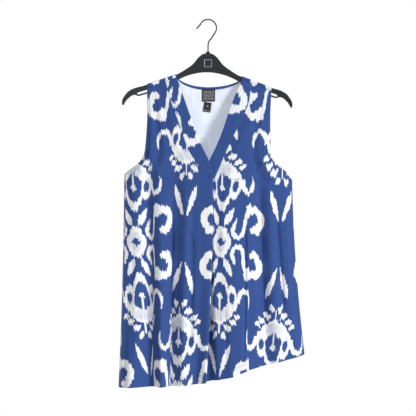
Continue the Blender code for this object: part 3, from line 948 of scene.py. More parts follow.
@dataclass
class Hanger:
    """Moulded hanger with a bent wire hook."""

    wire_radius: float = 0.0017
    hook_inner_radius: float = 0.0195
    bore_top: float = -0.0790
    bore_depth: float = 0.0140
    depth: float = 0.0115
    rounding: float = 0.0010
    tilt: float = math.radians(-0.9)
    badge: float = 0.0190
    badge_middle: float = -0.1085
    badge_rim: float = 0.0014
    outline: tuple[Corner, ...] = (
        Corner(0.0045, -0.0790, "VECTOR"),
        Corner(0.0050, -0.0832, "VECTOR"),
        Corner(0.0130, -0.0857),
        Corner(0.0225, -0.0930),
        Corner(0.0380, -0.1115),
        Corner(0.0540, -0.1235),
        Corner(0.0755, -0.1370, "VECTOR"),
        Corner(0.1570, -0.1660, "VECTOR"),
        Corner(0.1930, -0.1785),
        Corner(0.2040, -0.1890),
        Corner(0.2130, -0.2110),
        Corner(0.2105, -0.2155),
        Corner(0.2065, -0.2105),
        Corner(0.1990, -0.2000),
        Corner(0.1830, -0.1895),
        Corner(0.1720, -0.1918),
        Corner(0.1610, -0.1890, "VECTOR"),
        Corner(0.1250, -0.1773, "VECTOR"),
        Corner(0.1242, -0.1738, "VECTOR"),
        Corner(0.1700, -0.1884, "VECTOR"),
        Corner(0.1750, -0.1875),
        Corner(0.1735, -0.1832, "VECTOR"),
        Corner(0.0760, -0.1510, "VECTOR"),
        Corner(0.0600, -0.1430),
        Corner(0.0400, -0.1358),
        Corner(0.0000, -0.1300),
    )

    def arm_top(self, x: np.ndarray) -> np.ndarray:
        """Height of the arm's straight upper side at each x."""
        x = np.asarray(x, dtype=float)
        cos, sin = math.cos(self.tilt), math.sin(self.tilt)
        ends = []
        for corner in (self.outline[6], self.outline[7]):
            side = np.where(x < 0, -1.0, 1.0)
            rise = corner.z - self.bore_top
            across = side * corner.x * cos - rise * sin
            up = self.bore_top + side * corner.x * sin + rise * cos
            ends.append((across, up))
        slope = (ends[1][1] - ends[0][1]) / (ends[1][0] - ends[0][0])
        return ends[0][1] + slope * (x - ends[0][0])

    def build_body(self, plastic: bpy.types.Material) -> bpy.types.Object:
        """Make the moulded body, turned by its slight tilt about the top of its bore."""
        curve = bpy.data.curves.new("hanger_moulding", "CURVE")
        curve.dimensions = "2D"
        curve.fill_mode = "BOTH"
        curve.extrude = self.depth / 2 - self.rounding
        curve.bevel_depth = self.rounding
        curve.bevel_resolution = 3
        curve.offset = -self.rounding
        spline = curve.splines.new("BEZIER")
        mirrored = [Corner(-c.x, c.z, c.kind) for c in reversed(self.outline[:-1])]
        corners = [*self.outline, *mirrored]
        spline.bezier_points.add(len(corners) - 1)
        spline.use_cyclic_u = True
        spline.resolution_u = 10
        for point, corner in zip(spline.bezier_points, corners):
            point.co = (corner.x, corner.z - self.bore_top, 0.0)
            point.handle_left_type = corner.kind
            point.handle_right_type = corner.kind
        body = bpy.data.objects.new("hanger_moulding", curve)
        bpy.context.scene.collection.objects.link(body)
        body.rotation_euler = (math.radians(90), -self.tilt, 0)
        body.location = (0, 0, self.bore_top)
        curve.materials.append(plastic)
        ride_for(body, "hanger_body")
        return body

    def build_badge(self, plastic: bpy.types.Material, rim: bpy.types.Material) -> None:
        """Make the plain square plate in the middle of the front, with a raised pale rim."""
        plate = bmesh.new()
        front = -self.depth / 2 - 0.0006
        bmesh.ops.create_cube(plate, size=1.0)
        for vertex in plate.verts:
            vertex.co.x *= self.badge
            vertex.co.z *= self.badge
            vertex.co.y *= 0.0012
        bmesh.ops.bevel(
            plate, geom=plate.edges[:], offset=0.0003, segments=2, affect="EDGES", profile=0.6
        )
        faces = [face for face in plate.faces if face.normal.y < -0.9 and face.calc_area() > 1e-4]
        inset = bmesh.ops.inset_region(plate, faces=faces, thickness=self.badge_rim, depth=0.0)
        for face in inset["faces"]:
            face.material_index = 1
        bmesh.ops.translate(plate, verts=list({v for f in faces for v in f.verts}), vec=(0, 0.0003, 0))
        mesh = bpy.data.meshes.new("hanger_plate")
        plate.to_mesh(mesh)
        plate.free()
        made = bpy.data.objects.new("hanger_plate", mesh)
        bpy.context.scene.collection.objects.link(made)
        made.location = (0.0, front + 0.0005, self.badge_middle)
        made.rotation_euler = (0, -self.tilt, 0)
        mesh.materials.append(plastic)
        mesh.materials.append(rim)
        ride_for(made)

    def build_hook(self, steel: bpy.types.Material) -> None:
        """Make the wire hook: up from the bore, out to the right, over and down the left."""
        radius = self.hook_inner_radius + self.wire_radius
        foot = self.bore_top - self.bore_depth + 0.0010
        points = [(0.0, foot), (0.0, self.bore_top), (0.0005, -0.06), (0.003, -0.052), (0.0095, -0.044)]
        for angle in np.radians(np.linspace(-38, 158, 22)):
            high = -self.hook_inner_radius + radius * math.sin(angle)
            points.append((radius * math.cos(angle), high))
        points += [(-0.0243, -0.0163), (-0.0285, -0.0222)]
        route = smooth_path([(x, 0.0, z) for x, z in points], 110)
        curve = bpy.data.curves.new("hook_wire", "CURVE")
        curve.dimensions = "3D"
        spline = curve.splines.new("POLY")
        spline.points.add(len(route) - 1)
        for k, (point, place) in enumerate(zip(spline.points, route)):
            point.co = (*place, 1.0)
            point.radius = min(1.0, 0.62 + 0.22 * (len(route) - 1 - k))
        curve.bevel_depth = self.wire_radius
        curve.bevel_resolution = 4
        curve.use_fill_caps = True
        curve.materials.append(steel)
        hook = bpy.data.objects.new("hook_wire", curve)
        bpy.context.scene.collection.objects.link(hook)
        ride_for(hook, "hanger_hook")

    def build(self) -> None:
        """Make every piece of the hanger."""
        plastic = MouldedPlastic("black_moulded_plastic").build()
        rim = MouldedPlastic("pale_moulded_plastic", (0.50, 0.51, 0.53), (0.62, 0.63, 0.65), 0.5).build()
        steel = MouldedPlastic(
            "dark_coated_wire", (0.018, 0.019, 0.023), (0.10, 0.10, 0.11), 0.32, 0.6
        ).build()
        self.build_body(plastic)
        self.build_badge(plastic, rim)
        self.build_hook(steel)


# --------------------------------------------------------------------------------------------
# Garment
# --------------------------------------------------------------------------------------------


@dataclass
class Tunic:
    """Sleeveless tunic: front with a knife pleat, back, three neckbands and two labels."""

    hanger: Hanger
    lower_rows: int = 130
    upper_rows: int = 84
    over_arm: float = 0.0010
    back_seam_drop: float = 0.0070
    soften_passes: int = 26
    seam_tuck: float = 0.0011
    seam_reach: float = 0.0025
    tucked_shares: tuple[float, float] = (-0.06, -0.02)
    band_crown: float = 0.0006
    band_bevel: float = 0.0006
    right_sag: float = 0.0140
    sag_across: tuple[float, float] = (0.105, 0.150)
    sag_below: tuple[float, float] = (-0.330, -0.390)
    binding_height: float = 0.0068
    binding_end_gap: float = 0.0016
    label_width: float = 0.0330
    label_height: float = 0.0310
    label_middle: float = 0.0013
    label_top: float = -0.1715
    tab_width: float = 0.0190
    tab_height: float = 0.0245
    tab_tilt: float = math.radians(-8)
    shoulder_tips: tuple[float, float] = (-0.1520, 0.1580)
    band_tops: tuple[float, float] = (-0.1060, 0.1060)
    neck_points: tuple[float, float] = (-0.0780, 0.0840)

    left_folds: tuple[Fold, ...] = (
        Fold(-0.2090, -0.2135, -0.2235, -0.0007, -0.0007, -0.0007, 6),
        Fold(-0.2030, -0.2075, -0.2170, -0.0095, -0.0120, -0.0150, 9),
        Fold(-0.1800, -0.1850, -0.1930, -0.0180, -0.0215, -0.0300, 12),
        Fold(-0.1420, -0.1430, -0.1370, -0.0170, -0.0155, -0.0160, 11),
        Fold(-0.1180, -0.1160, -0.1160, -0.0230, -0.0310, -0.0440, 14),
        Fold(-0.0800, -0.0855, -0.0940, -0.0200, -0.0180, -0.0230, 12),
        Fold(-0.0520, -0.0555, -0.0610, -0.0265, -0.0345, -0.0450, 12),
        Fold(-0.0190, -0.0215, -0.0320, -0.0268, -0.0310, -0.0330, 8),
        Fold(0.0105, 0.0065, -0.0065, -0.0280, -0.0360, -0.0480, 2),
    )
    pleat_folds: tuple[Fold, ...] = (
        Fold(0.0120, 0.0080, -0.0050, -0.0265, -0.0345, -0.0465, 2),
        Fold(0.0105, 0.0065, -0.0065, -0.0250, -0.0330, -0.0450, 4),
        Fold(-0.0125, -0.0160, -0.0230, -0.0238, -0.0262, -0.0280, 2),
        Fold(-0.0140, -0.0175, -0.0245, -0.0224, -0.0238, -0.0240, 2),
        Fold(-0.0125, -0.0160, -0.0230, -0.0210, -0.0214, -0.0205, 4),
        Fold(0.0060, 0.0040, 0.0060, -0.0202, -0.0190, -0.0175, 6),
    )
    right_folds: tuple[Fold, ...] = (
        Fold(0.0150, 0.0170, 0.0280, -0.0215, -0.0285, -0.0395, 12),
        Fold(0.0600, 0.0600, 0.0600, -0.0260, -0.0360, -0.0465, 12),
        Fold(0.0960, 0.0955, 0.0930, -0.0238, -0.0350, -0.0465, 7),
        Fold(0.1050, 0.1035, 0.1005, -0.0225, -0.0300, -0.0345, 12),
        Fold(0.1300, 0.1380, 0.1470, -0.0175, -0.0170, -0.0260, 10),
        Fold(0.1540, 0.1585, 0.1770, -0.0205, -0.0270, -0.0340, 8),
        Fold(0.1680, 0.1830, 0.2000, -0.0178, -0.0195, -0.0255, 8),
        Fold(0.1870, 0.2005, 0.2200, -0.0150, -0.0190, -0.0230, 9),
        Fold(0.2040, 0.2140, 0.2350, -0.0085, -0.0110, -0.0130, 6),
        Fold(0.2100, 0.2200, 0.2410, -0.0007, -0.0007, -0.0007, 0),
    )
    back_folds: tuple[Fold, ...] = (
        Fold(-0.2090, -0.2135, -0.2235, 0.0007, 0.0007, 0.0007, 6),
        Fold(-0.2030, -0.2075, -0.2170, 0.0090, 0.0120, 0.0140, 9),
        Fold(-0.1740, -0.1810, -0.1890, 0.0180, 0.0240, 0.0330, 12),
        Fold(-0.1250, -0.1380, -0.1500, 0.0160, 0.0160, 0.0165, 11),
        Fold(-0.0850, -0.0950, -0.1050, 0.0230, 0.0310, 0.0440, 11),
        Fold(-0.0450, -0.0450, -0.0550, 0.0205, 0.0190, 0.0195, 11),
        Fold(0.0020, 0.0050, -0.0050, 0.0250, 0.0330, 0.0460, 11),
        Fold(0.0450, 0.0480, 0.0500, 0.0200, 0.0180, 0.0185, 11),
        Fold(0.0900, 0.0950, 0.1000, 0.0235, 0.0320, 0.0430, 11),
        Fold(0.1300, 0.1400, 0.1500, 0.0160, 0.0165, 0.0180, 11),
        Fold(0.1750, 0.1880, 0.2050, 0.0180, 0.0220, 0.0290, 9),
        Fold(0.2040, 0.2140, 0.2350, 0.0085, 0.0110, 0.0130, 6),
        Fold(0.2100, 0.2200, 0.2410, 0.0007, 0.0007, 0.0007, 0),
    )
    back_neck_folds: tuple[int, int] = (4, 8)

    hem_line: tuple[tuple[float, float], ...] = (
        (-0.2235, -0.9165), (-0.1000, -0.9115), (-0.0300, -0.9050), (0.0000, -0.9000),
        (0.0600, -0.8870), (0.0950, -0.8725), (0.1450, -0.8580), (0.2100, -0.8430),
        (0.2410, -0.8345),
    )
    chest_line: tuple[tuple[float, float], ...] = (
        (-0.2090, -0.3850), (-0.0600, -0.3815), (-0.0190, -0.3815), (0.0105, -0.3965),
        (0.0600, -0.3970), (0.2100, -0.4000),
    )
    armholes: tuple[tuple[tuple[float, float, float], ...], ...] = (
        ((-0.2090, -0.0007, -0.3850), (-0.1890, -0.0075, -0.3700), (-0.1710, -0.0100, -0.3555),
         (-0.1590, -0.0115, -0.3340), (-0.1545, -0.0120, -0.3005), (-0.1510, -0.0110, -0.2400)),
        ((0.2100, -0.0007, -0.4000), (0.1920, -0.0075, -0.3770), (0.1705, -0.0100, -0.3600),
         (0.1590, -0.0115, -0.3430), (0.1555, -0.0120, -0.3050), (0.1550, -0.0110, -0.2400)),
    )
    band_seams: tuple[tuple[tuple[float, float, float], ...], ...] = (
        ((-0.0190, -0.0268, -0.3815), (-0.0250, -0.0268, -0.3620), (-0.0490, -0.0250, -0.3230),
         (-0.0730, -0.0200, -0.2560), (-0.0910, -0.0145, -0.2070)),
        ((0.0150, -0.0215, -0.3970), (0.0515, -0.0215, -0.3140), (0.0690, -0.0195, -0.2780),
         (0.0870, -0.0165, -0.2420), (0.1020, -0.0120, -0.2020)),
    )
    band_necks: tuple[tuple[tuple[float, float, float], ...], ...] = (
        ((0.0118, -0.0285, -0.3955), (0.0140, -0.0282, -0.3870), (0.0080, -0.0275, -0.3660),
         (-0.0010, -0.0265, -0.3450), (-0.0225, -0.0230, -0.2995), (-0.0530, -0.0140, -0.2150)),
        ((-0.0090, -0.0205, -0.3790), (0.0030, -0.0205, -0.3520), (0.0310, -0.0180, -0.2915),
         (0.0570, -0.0130, -0.2160)),
    )
    back_neck: tuple[tuple[float, float, float], ...] = (
        (-0.0665, 0.0075, -0.1570), (-0.0380, 0.0085, -0.1695), (0.0000, 0.0092, -0.1745),
        (0.0420, 0.0086, -0.1700), (0.0725, 0.0075, -0.1590),
    )

    front_grain: tuple[GrainLine, ...] = (
        GrainLine(((-0.40, -0.2090, -0.035), (-0.60, -0.2135, -0.050), (-0.78, -0.2175, -0.075),
                   (-0.92, -0.2235, -0.096))),
        GrainLine(((-0.40, -0.2030, -0.019), (-0.60, -0.2075, -0.032), (-0.78, -0.2115, -0.057),
                   (-0.92, -0.2170, -0.078))),
        GrainLine(((-0.15, -0.1960, 0.0), (-0.475, -0.1840, 0.0), (-0.558, -0.1780, 0.0),
                   (-0.78, -0.1540, 0.0), (-0.90, -0.1425, 0.0))),
        GrainLine(((-0.15, -0.1415, 0.0545), (-0.40, -0.1405, 0.042), (-0.60, -0.1380, 0.037),
                   (-0.78, -0.1390, 0.016), (-0.90, -0.1400, 0.003))),
        GrainLine(((-0.15, -0.1325, 0.0635), (-0.40, -0.1325, 0.064), (-0.60, -0.1300, 0.0635),
                   (-0.78, -0.1310, 0.058), (-0.90, -0.1320, 0.058))),
        GrainLine(((-0.15, -0.0930, 0.103), (-0.40, -0.0930, 0.103), (-0.60, -0.0930, 0.100),
                   (-0.78, -0.0960, 0.100), (-0.90, -0.0990, 0.100))),
        GrainLine(((-0.15, -0.0830, 0.1135), (-0.40, -0.0830, 0.121), (-0.60, -0.0840, 0.127),
                   (-0.78, -0.0890, 0.133), (-0.90, -0.0920, 0.1345))),
        GrainLine(((-0.15, -0.0470, 0.150), (-0.39, -0.0540, 0.150), (-0.65, -0.0625, 0.150),
                   (-0.70, -0.0695, 0.150), (-0.86, -0.0750, 0.150))),
        GrainLine(((-0.39, 0.0105, 0.2160), (-0.60, 0.0065, 0.2160), (-0.90, -0.0065, 0.2160))),
    )
    right_grain: tuple[GrainLine, ...] = (
        GrainLine(((-0.15, 0.0200, 0.266), (-0.39, 0.0225, 0.278), (-0.60, 0.0160, 0.2835),
                   (-0.90, 0.0070, 0.2845))),
        GrainLine(((-0.15, 0.0500, 0.300), (-0.290, 0.0420, 0.300), (-0.375, 0.0350, 0.300),
                   (-0.552, 0.0315, 0.300), (-0.767, 0.0275, 0.300), (-0.90, 0.0225, 0.300))),
        GrainLine(((-0.15, 0.0965, 0.3430), (-0.40, 0.0965, 0.353), (-0.60, 0.0965, 0.364),
                   (-0.80, 0.0935, 0.367), (-0.90, 0.0935, 0.371))),
        GrainLine(((-0.15, 0.1040, 0.3510), (-0.40, 0.1040, 0.370), (-0.60, 0.1040, 0.378),
                   (-0.80, 0.1010, 0.389), (-0.90, 0.1005, 0.3985))),
        GrainLine(((-0.15, 0.1950, 0.450), (-0.40, 0.1840, 0.450), (-0.60, 0.1758, 0.450),
                   (-0.725, 0.1690, 0.450), (-0.855, 0.1563, 0.450))),
        GrainLine(((-0.40, 0.2040, 0.470), (-0.60, 0.2140, 0.488), (-0.80, 0.2300, 0.5185),
                   (-0.90, 0.2350, 0.533))),
        GrainLine(((-0.40, 0.2100, 0.486), (-0.60, 0.2200, 0.504), (-0.80, 0.2365, 0.536),
                   (-0.90, 0.2410, 0.552))),
    )
    back_grain: tuple[GrainLine, ...] = (
        GrainLine(((-0.15, -0.200, -0.02), (-0.90, -0.225, -0.02))),
        GrainLine(((-0.15, 0.205, 0.47), (-0.90, 0.235, 0.50))),
    )
    band_shifts: tuple[tuple[float, float], ...] = ((0.1238, -0.3288), (0.0125, -0.4125))

    front_creases: tuple[Crease, ...] = (
        Crease((-0.0870, -0.430), (-0.0925, -0.905), 0.0052, -0.0075, 0.0015),
        Crease((0.0925, -0.470), (0.0900, -0.860), 0.0048, -0.0065, -0.0010),
        Crease((-0.1490, -0.310), (-0.1470, -0.895), 0.0100, -0.0080, 0.0030),
        Crease((0.1280, -0.400), (0.1420, -0.800), 0.0075, -0.0055, 0.0020),
        Crease((-0.0400, -0.450), (-0.0480, -0.880), 0.0090, -0.0060, -0.0020),
        Crease((-0.1850, -0.520), (-0.1900, -0.880), 0.0060, -0.0045, 0.0020),
        Crease((0.1690, -0.460), (0.1930, -0.780), 0.0055, -0.0055, 0.0010),
        Crease((-0.185, -0.392), (-0.108, -0.352), 0.0080, 0.0026, 0.004),
        Crease((-0.176, -0.412), (-0.095, -0.392), 0.0070, -0.0022, -0.005),
        Crease((-0.150, -0.300), (-0.112, -0.410), 0.0090, 0.0024, 0.006),
        Crease((-0.133, -0.225), (-0.118, -0.330), 0.0070, -0.0020, 0.002),
        Crease((-0.100, -0.240), (-0.082, -0.345), 0.0085, 0.0022, -0.003),
        Crease((-0.060, -0.430), (-0.030, -0.560), 0.0075, 0.0026, 0.004),
        Crease((-0.160, -0.500), (-0.150, -0.690), 0.0060, 0.0026, -0.003),
        Crease((-0.040, -0.640), (-0.046, -0.830), 0.0070, -0.0030, 0.003),
        Crease((-0.196, -0.610), (-0.200, -0.860), 0.0060, -0.0024, 0.002),
        Crease((-0.104, -0.700), (-0.106, -0.880), 0.0045, -0.0020, 0.001),
        Crease((0.046, -0.410), (0.036, -0.620), 0.0070, 0.0026, 0.005),
        Crease((0.080, -0.470), (0.078, -0.700), 0.0065, -0.0026, -0.004),
        Crease((0.120, -0.345), (0.178, -0.410), 0.0080, 0.0026, -0.004),
        Crease((0.112, -0.375), (0.172, -0.432), 0.0065, -0.0022, -0.003),
        Crease((0.150, -0.270), (0.120, -0.400), 0.0085, 0.0024, -0.005),
        Crease((0.124, -0.215), (0.112, -0.320), 0.0070, -0.0022, 0.003),
        Crease((0.120, -0.560), (0.124, -0.800), 0.0065, 0.0028, 0.003),
        Crease((0.042, -0.700), (0.044, -0.880), 0.0055, -0.0026, -0.002),
        Crease((0.168, -0.640), (0.186, -0.840), 0.0050, 0.0022, 0.002),
        Crease((0.206, -0.560), (0.222, -0.800), 0.0060, -0.0022, 0.002),
    )
    back_creases: tuple[Crease, ...] = (
        Crease((-0.185, -0.395), (-0.110, -0.340), 0.0090, 0.0030, 0.004),
        Crease((-0.172, -0.420), (-0.095, -0.400), 0.0075, -0.0024, -0.004),
        Crease((-0.110, -0.200), (-0.030, -0.330), 0.0110, -0.0030, 0.005),
        Crease((0.100, -0.205), (0.020, -0.330), 0.0110, 0.0026, 0.005),
        Crease((0.118, -0.350), (0.182, -0.412), 0.0090, 0.0028, -0.004),
        Crease((0.020, -0.420), (0.030, -0.640), 0.0080, 0.0030, 0.004),
        Crease((-0.070, -0.480), (-0.078, -0.700), 0.0075, -0.0028, -0.003),
        Crease((-0.160, -0.560), (-0.170, -0.820), 0.0065, -0.0028, 0.002),
        Crease((0.070, -0.600), (0.078, -0.840), 0.0070, 0.0030, 0.003),
        Crease((0.160, -0.520), (0.172, -0.760), 0.0065, -0.0026, 0.003),
        Crease((-0.015, -0.700), (-0.028, -0.880), 0.0060, -0.0026, 0.002),
        Crease((-0.130, -0.260), (-0.100, -0.420), 0.0090, 0.0026, -0.004),
    )

    @property
    def shoulder_y(self) -> float:
        """Distance of the cloth from the middle of the arm that it hangs over."""
        return self.hanger.depth / 2 + self.over_arm

    def shoulder_point(self, x: float, y: float, drop: float) -> tuple[float, float, float]:
        """Place beside the hanger's arm, below its upper side by a drop."""
        return (x, y, float(self.hanger.arm_top(x)) - drop)

    def skirt(self, folds: Sequence[Fold]) -> np.ndarray:
        """Grid from the hem, its lowest row, up to the chest line.

        Args:
            folds: the fold lines, in order across.

        Returns:
            Points, one row for each height.
        """
        t = np.linspace(1, 0, self.lower_rows + 1)
        columns = []
        for fold, after in zip(folds, folds[1:]):
            lines = []
            for line in (fold, after):
                x = quadratic(line.x_chest, line.x_waist, line.x_hem, t)
                y = quadratic(line.y_chest, line.y_waist, line.y_hem, t)
                chest = along_table(self.chest_line, line.x_chest)
                hem = along_table(self.hem_line, line.x_hem)
                lines.append(np.stack([x, y, chest * (1 - t) + hem * t], axis=1))
            last = after is folds[-1]
            for k in range(fold.strips + (1 if last else 0)):
                share = k / fold.strips
                ease = share * share * (3 - 2 * share)
                weights = np.array([share, ease, share])
                columns.append(lines[0] * (1 - weights) + lines[1] * weights)
        return np.stack(columns, axis=1)

    def soften(self, lower: np.ndarray, upper: np.ndarray, keep: np.ndarray) -> None:
        """Round the bend between two joined grids.

        Args:
            lower: grid whose top row is the other's bottom row.
            upper: grid above it.
            keep: for each column, from 0, left alone, to 1, softened fully.
        """
        column = np.concatenate([lower[:, :, 1], upper[1:, :, 1]])
        join = len(lower) - 1
        reach = 30
        rows = np.arange(len(column))
        near = np.clip(1 - np.abs(rows - join) / reach, 0, 1)[1:-1, None] * keep[None]
        for _ in range(self.soften_passes):
            middle = (column[:-2] + column[2:]) / 2
            column[1:-1] += (middle - column[1:-1]) * near
        lower[:, :, 1] = column[: join + 1]
        upper[:, :, 1] = column[join:]

    @staticmethod
    def crease(points: np.ndarray, creases: Sequence[Crease], toward: float, calm: np.ndarray) -> None:
        """Lay the creases on a grid.

        Args:
            points: the grid, changed in place.
            creases: ridges and troughs.
            toward: -1 where the outer side faces the front, 1 where it faces the back.
            calm: share of each point's lift that stays, 0 along seams that have to meet.
        """
        lift = sum(crease.lift(points[:, :, 0], points[:, :, 2]) for crease in creases)
        points[:, :, 1] += toward * lift * calm

    @staticmethod
    def hem_edge(points: np.ndarray) -> np.ndarray:
        """Edge layer of a skirt: distance above its hem and place along it."""
        steps = np.linalg.norm(np.diff(points, axis=0), axis=2)
        above = np.vstack([np.zeros(points.shape[1]), np.cumsum(steps, axis=0)])
        around = np.broadcast_to(arc_length(points[0]), above.shape)
        return np.stack([above + 0.0002, around], axis=-1)

    @staticmethod
    def armhole_edge(points: np.ndarray, last: bool) -> np.ndarray:
        """Edge layer of a panel's top: minus its distance from the armhole, and place along it."""
        rows = points[:, ::-1] if last else points
        steps = np.linalg.norm(np.diff(rows, axis=1), axis=2)
        inside = np.hstack([np.zeros((len(rows), 1)), np.cumsum(steps, axis=1)])
        around = np.broadcast_to(arc_length(rows[:, 0])[:, None], inside.shape)
        edge = np.stack([-inside - 0.0002, around], axis=-1)
        return edge[:, ::-1] if last else edge

    @staticmethod
    def flat_print(points: np.ndarray, lines: Sequence[GrainLine]) -> np.ndarray:
        """Flat coordinates of a grid between its grain lines."""
        across = flat_across(points[:, :, 0], points[:, :, 2], lines)
        return np.stack([across, points[:, :, 2]], axis=-1)

    def sagged_print(self, points: np.ndarray) -> np.ndarray:
        """Flat coordinates of the front's right side, whose cloth sags toward its seam."""
        flat = self.flat_print(points, self.right_grain)
        outward = np.interp(points[:, :, 0], self.sag_across, (0, 1))
        downward = np.interp(-points[:, :, 2], [-edge for edge in self.sag_below], (0, 1))
        flat[:, :, 1] += self.right_sag * outward * downward
        return flat

    def build_front(self, face: bpy.types.Material, reverse: bpy.types.Material) -> bpy.types.Object:
        """Make the front: one cloth with a knife pleat, and a patch up to each shoulder."""
        whole = (*self.left_folds, *self.pleat_folds, *self.right_folds)
        lower = self.skirt(whole)
        to_band = sum(fold.strips for fold in self.left_folds[:-2])
        to_edge = sum(fold.strips for fold in self.left_folds[:-1])
        to_lip = to_edge + self.left_folds[-1].strips + sum(f.strips for f in self.pleat_folds)
        drop = self.back_seam_drop + SEAM_GAP
        y = -self.shoulder_y

        cloth = Cloth("printed_front", "printed_jersey", "front")
        left = lower[:, : to_band + 1]
        right = lower[:, to_lip:]
        uppers = []
        for side, part in enumerate((left, right)):
            tip = self.shoulder_point(self.shoulder_tips[side], y, drop)
            band = self.shoulder_point(self.band_tops[side], y, drop)
            armhole = smooth_path([*self.armholes[side], tip], self.upper_rows + 1)
            seam = smooth_path([*self.band_seams[side], band], self.upper_rows + 1)
            sides = (armhole, seam) if side == 0 else (seam, armhole)
            corners = (tip, band) if side == 0 else (band, tip)
            top = straight(*corners, shares_of(part[-1]))
            uppers.append(fill(*sides, part[-1].copy(), top))

        for side, (part, upper) in enumerate(zip((left, right), uppers)):
            shares = shares_of(part[-1])
            inward = shares if side == 0 else 1 - shares
            keep = np.clip((1 - inward) * 8, 0, 1) * np.clip(inward * 12, 0, 1)
            self.soften(part, upper, keep)
            seamward = np.clip((1 - inward) * 9, 0, 1)[None]
            high = np.linspace(0, 1, len(upper))[:, None]
            calm = seamward * np.clip((1 - high) * 6, 0, 1)
            self.crease(upper, self.front_creases, -1, calm)
            self.crease(part, self.front_creases, -1, self.calm_skirt(part, seamward, side == 0))

        flat_left = self.flat_print(lower[:, : to_edge + 1], self.front_grain)
        flat_right = self.sagged_print(right)
        folded = lower[:, to_edge : to_lip + 1]
        reach = np.array([arc_length(row) for row in folded])
        share = reach / reach[:, -1:]
        gap = flat_right[:, :1, 0] - flat_left[:, -1:, 0]
        flat_pleat = flat_left[:, -1:, 0] + gap * share
        flat_pleat = np.stack([flat_pleat, folded[:, :, 2]], axis=-1)
        flat_lower = np.hstack([flat_left[:, :-1], flat_pleat[:, :-1], flat_right])

        cloth.add(lower, flat_lower, self.hem_edge(lower))
        top_left, top_right = uppers
        flat_left = self.flat_print(top_left, self.front_grain)
        cloth.add(top_left, flat_left, self.armhole_edge(top_left, False))
        cloth.add(top_right, self.sagged_print(top_right), self.armhole_edge(top_right, True))
        made = cloth.build(CLOTH_WALL, face, reverse)
        log.info("front area %.4f", cloth.area())
        return made

    @staticmethod
    def calm_skirt(part: np.ndarray, seamward: np.ndarray, left: bool) -> np.ndarray:
        """Share of the creases' lift that a skirt's points keep: none at its joins."""
        below = np.linspace(1, 0, len(part))[:, None]
        near_seam = np.where(below < 0.2, seamward, 1.0)
        shares = shares_of(part[-1])
        outward = np.clip((shares if left else 1 - shares) * 14, 0, 1)[None]
        inward = np.clip(((1 - shares) if left else shares) * 14, 0, 1)[None]
        return near_seam * outward * inward

    def back_grids(self) -> tuple[np.ndarray, np.ndarray, int, int]:
        """Grids of the back.

        Returns:
            The skirt, the part above the chest line, and the columns at the ends of its neck.
        """
        lower = self.skirt(self.back_folds)
        first, last = (sum(f.strips for f in self.back_folds[:k]) for k in self.back_neck_folds)
        bottom = lower[-1].copy()
        y, drop = self.shoulder_y, self.back_seam_drop
        tips = [self.shoulder_point(x, y, drop) for x in self.shoulder_tips]
        necks = [self.shoulder_point(x, y, drop) for x in self.neck_points]
        neck = smooth_path([necks[0], *self.back_neck, necks[1]], last - first + 1)
        top = np.vstack(
            [
                straight(tips[0], necks[0], shares_of(bottom[: first + 1])),
                neck[1:-1],
                straight(necks[1], tips[1], shares_of(bottom[last:])),
            ]
        )
        sides = []
        for hole, tip, end in zip(self.armholes, tips, (0, -1)):
            path = [bottom[end]] + [(x * 0.99, -y, z) for x, y, z in hole[1:]] + [tip]
            sides.append(smooth_path(path, self.upper_rows + 1))
        return lower, fill(*sides, bottom, top), first, last

    def over_the_arm(self, row: np.ndarray) -> np.ndarray:
        """Strip from a top row of the back, over the arm to the front seam."""
        corner = self.shoulder_y - self.over_arm - self.hanger.rounding
        reach = self.hanger.rounding + self.over_arm
        profile = [(self.shoulder_y, -self.back_seam_drop)]
        profile.append((self.shoulder_y, -self.back_seam_drop / 2))
        for angle in np.radians(np.linspace(0, 90, 7)):
            up = reach * math.sin(angle) - self.hanger.rounding
            profile.append((corner + reach * math.cos(angle), up))
        profile += [(-y, up) for y, up in reversed(profile)]
        top = self.hanger.arm_top(row[:, 0])
        strips = [np.stack([row[:, 0], np.full(len(row), y), top + up], axis=1) for y, up in profile]
        return np.array(strips)

    def build_back(self, face: bpy.types.Material, reverse: bpy.types.Material) -> np.ndarray:
        """Make the back: one cloth, over each arm of the hanger to a seam just in front.

        Args:
            face: material of its outer side.
            reverse: material of its inner side.

        Returns:
            Its grid above the chest line.
        """
        lower, upper, first, last = self.back_grids()
        shares = shares_of(lower[-1])
        ends = np.clip(np.minimum(shares, 1 - shares) * 12, 0, 1)
        self.soften(lower, upper, ends)
        high = np.linspace(0, 1, len(upper))[:, None]
        self.crease(upper, self.back_creases, 1, ends[None] * np.clip((1 - high) * 4, 0, 1))
        self.crease(lower, self.back_creases, 1, np.broadcast_to(ends[None], lower.shape[:2]))
        cloth = Cloth("printed_back", "printed_jersey", "back")
        middle = len(shares) // 2
        edge = np.hstack(
            [
                self.armhole_edge(upper[:, : middle + 1], False),
                self.armhole_edge(upper[:, middle + 1 :], True),
            ]
        )
        grids = [(lower, self.hem_edge(lower)), (upper, edge)]
        for columns in (slice(0, first + 1), slice(last, None)):
            strip = self.over_the_arm(upper[-1, columns])
            inside = self.armhole_edge(strip, columns.start != 0)
            grids.append((strip, inside))
        for grid, border in grids:
            flat = self.flat_print(grid, self.back_grain)
            cloth.add(grid[:, ::-1], flat[:, ::-1], border[:, ::-1])
        made = cloth.build(CLOTH_WALL, face, reverse)
        log.info("back area %.4f", cloth.area())
        return upper

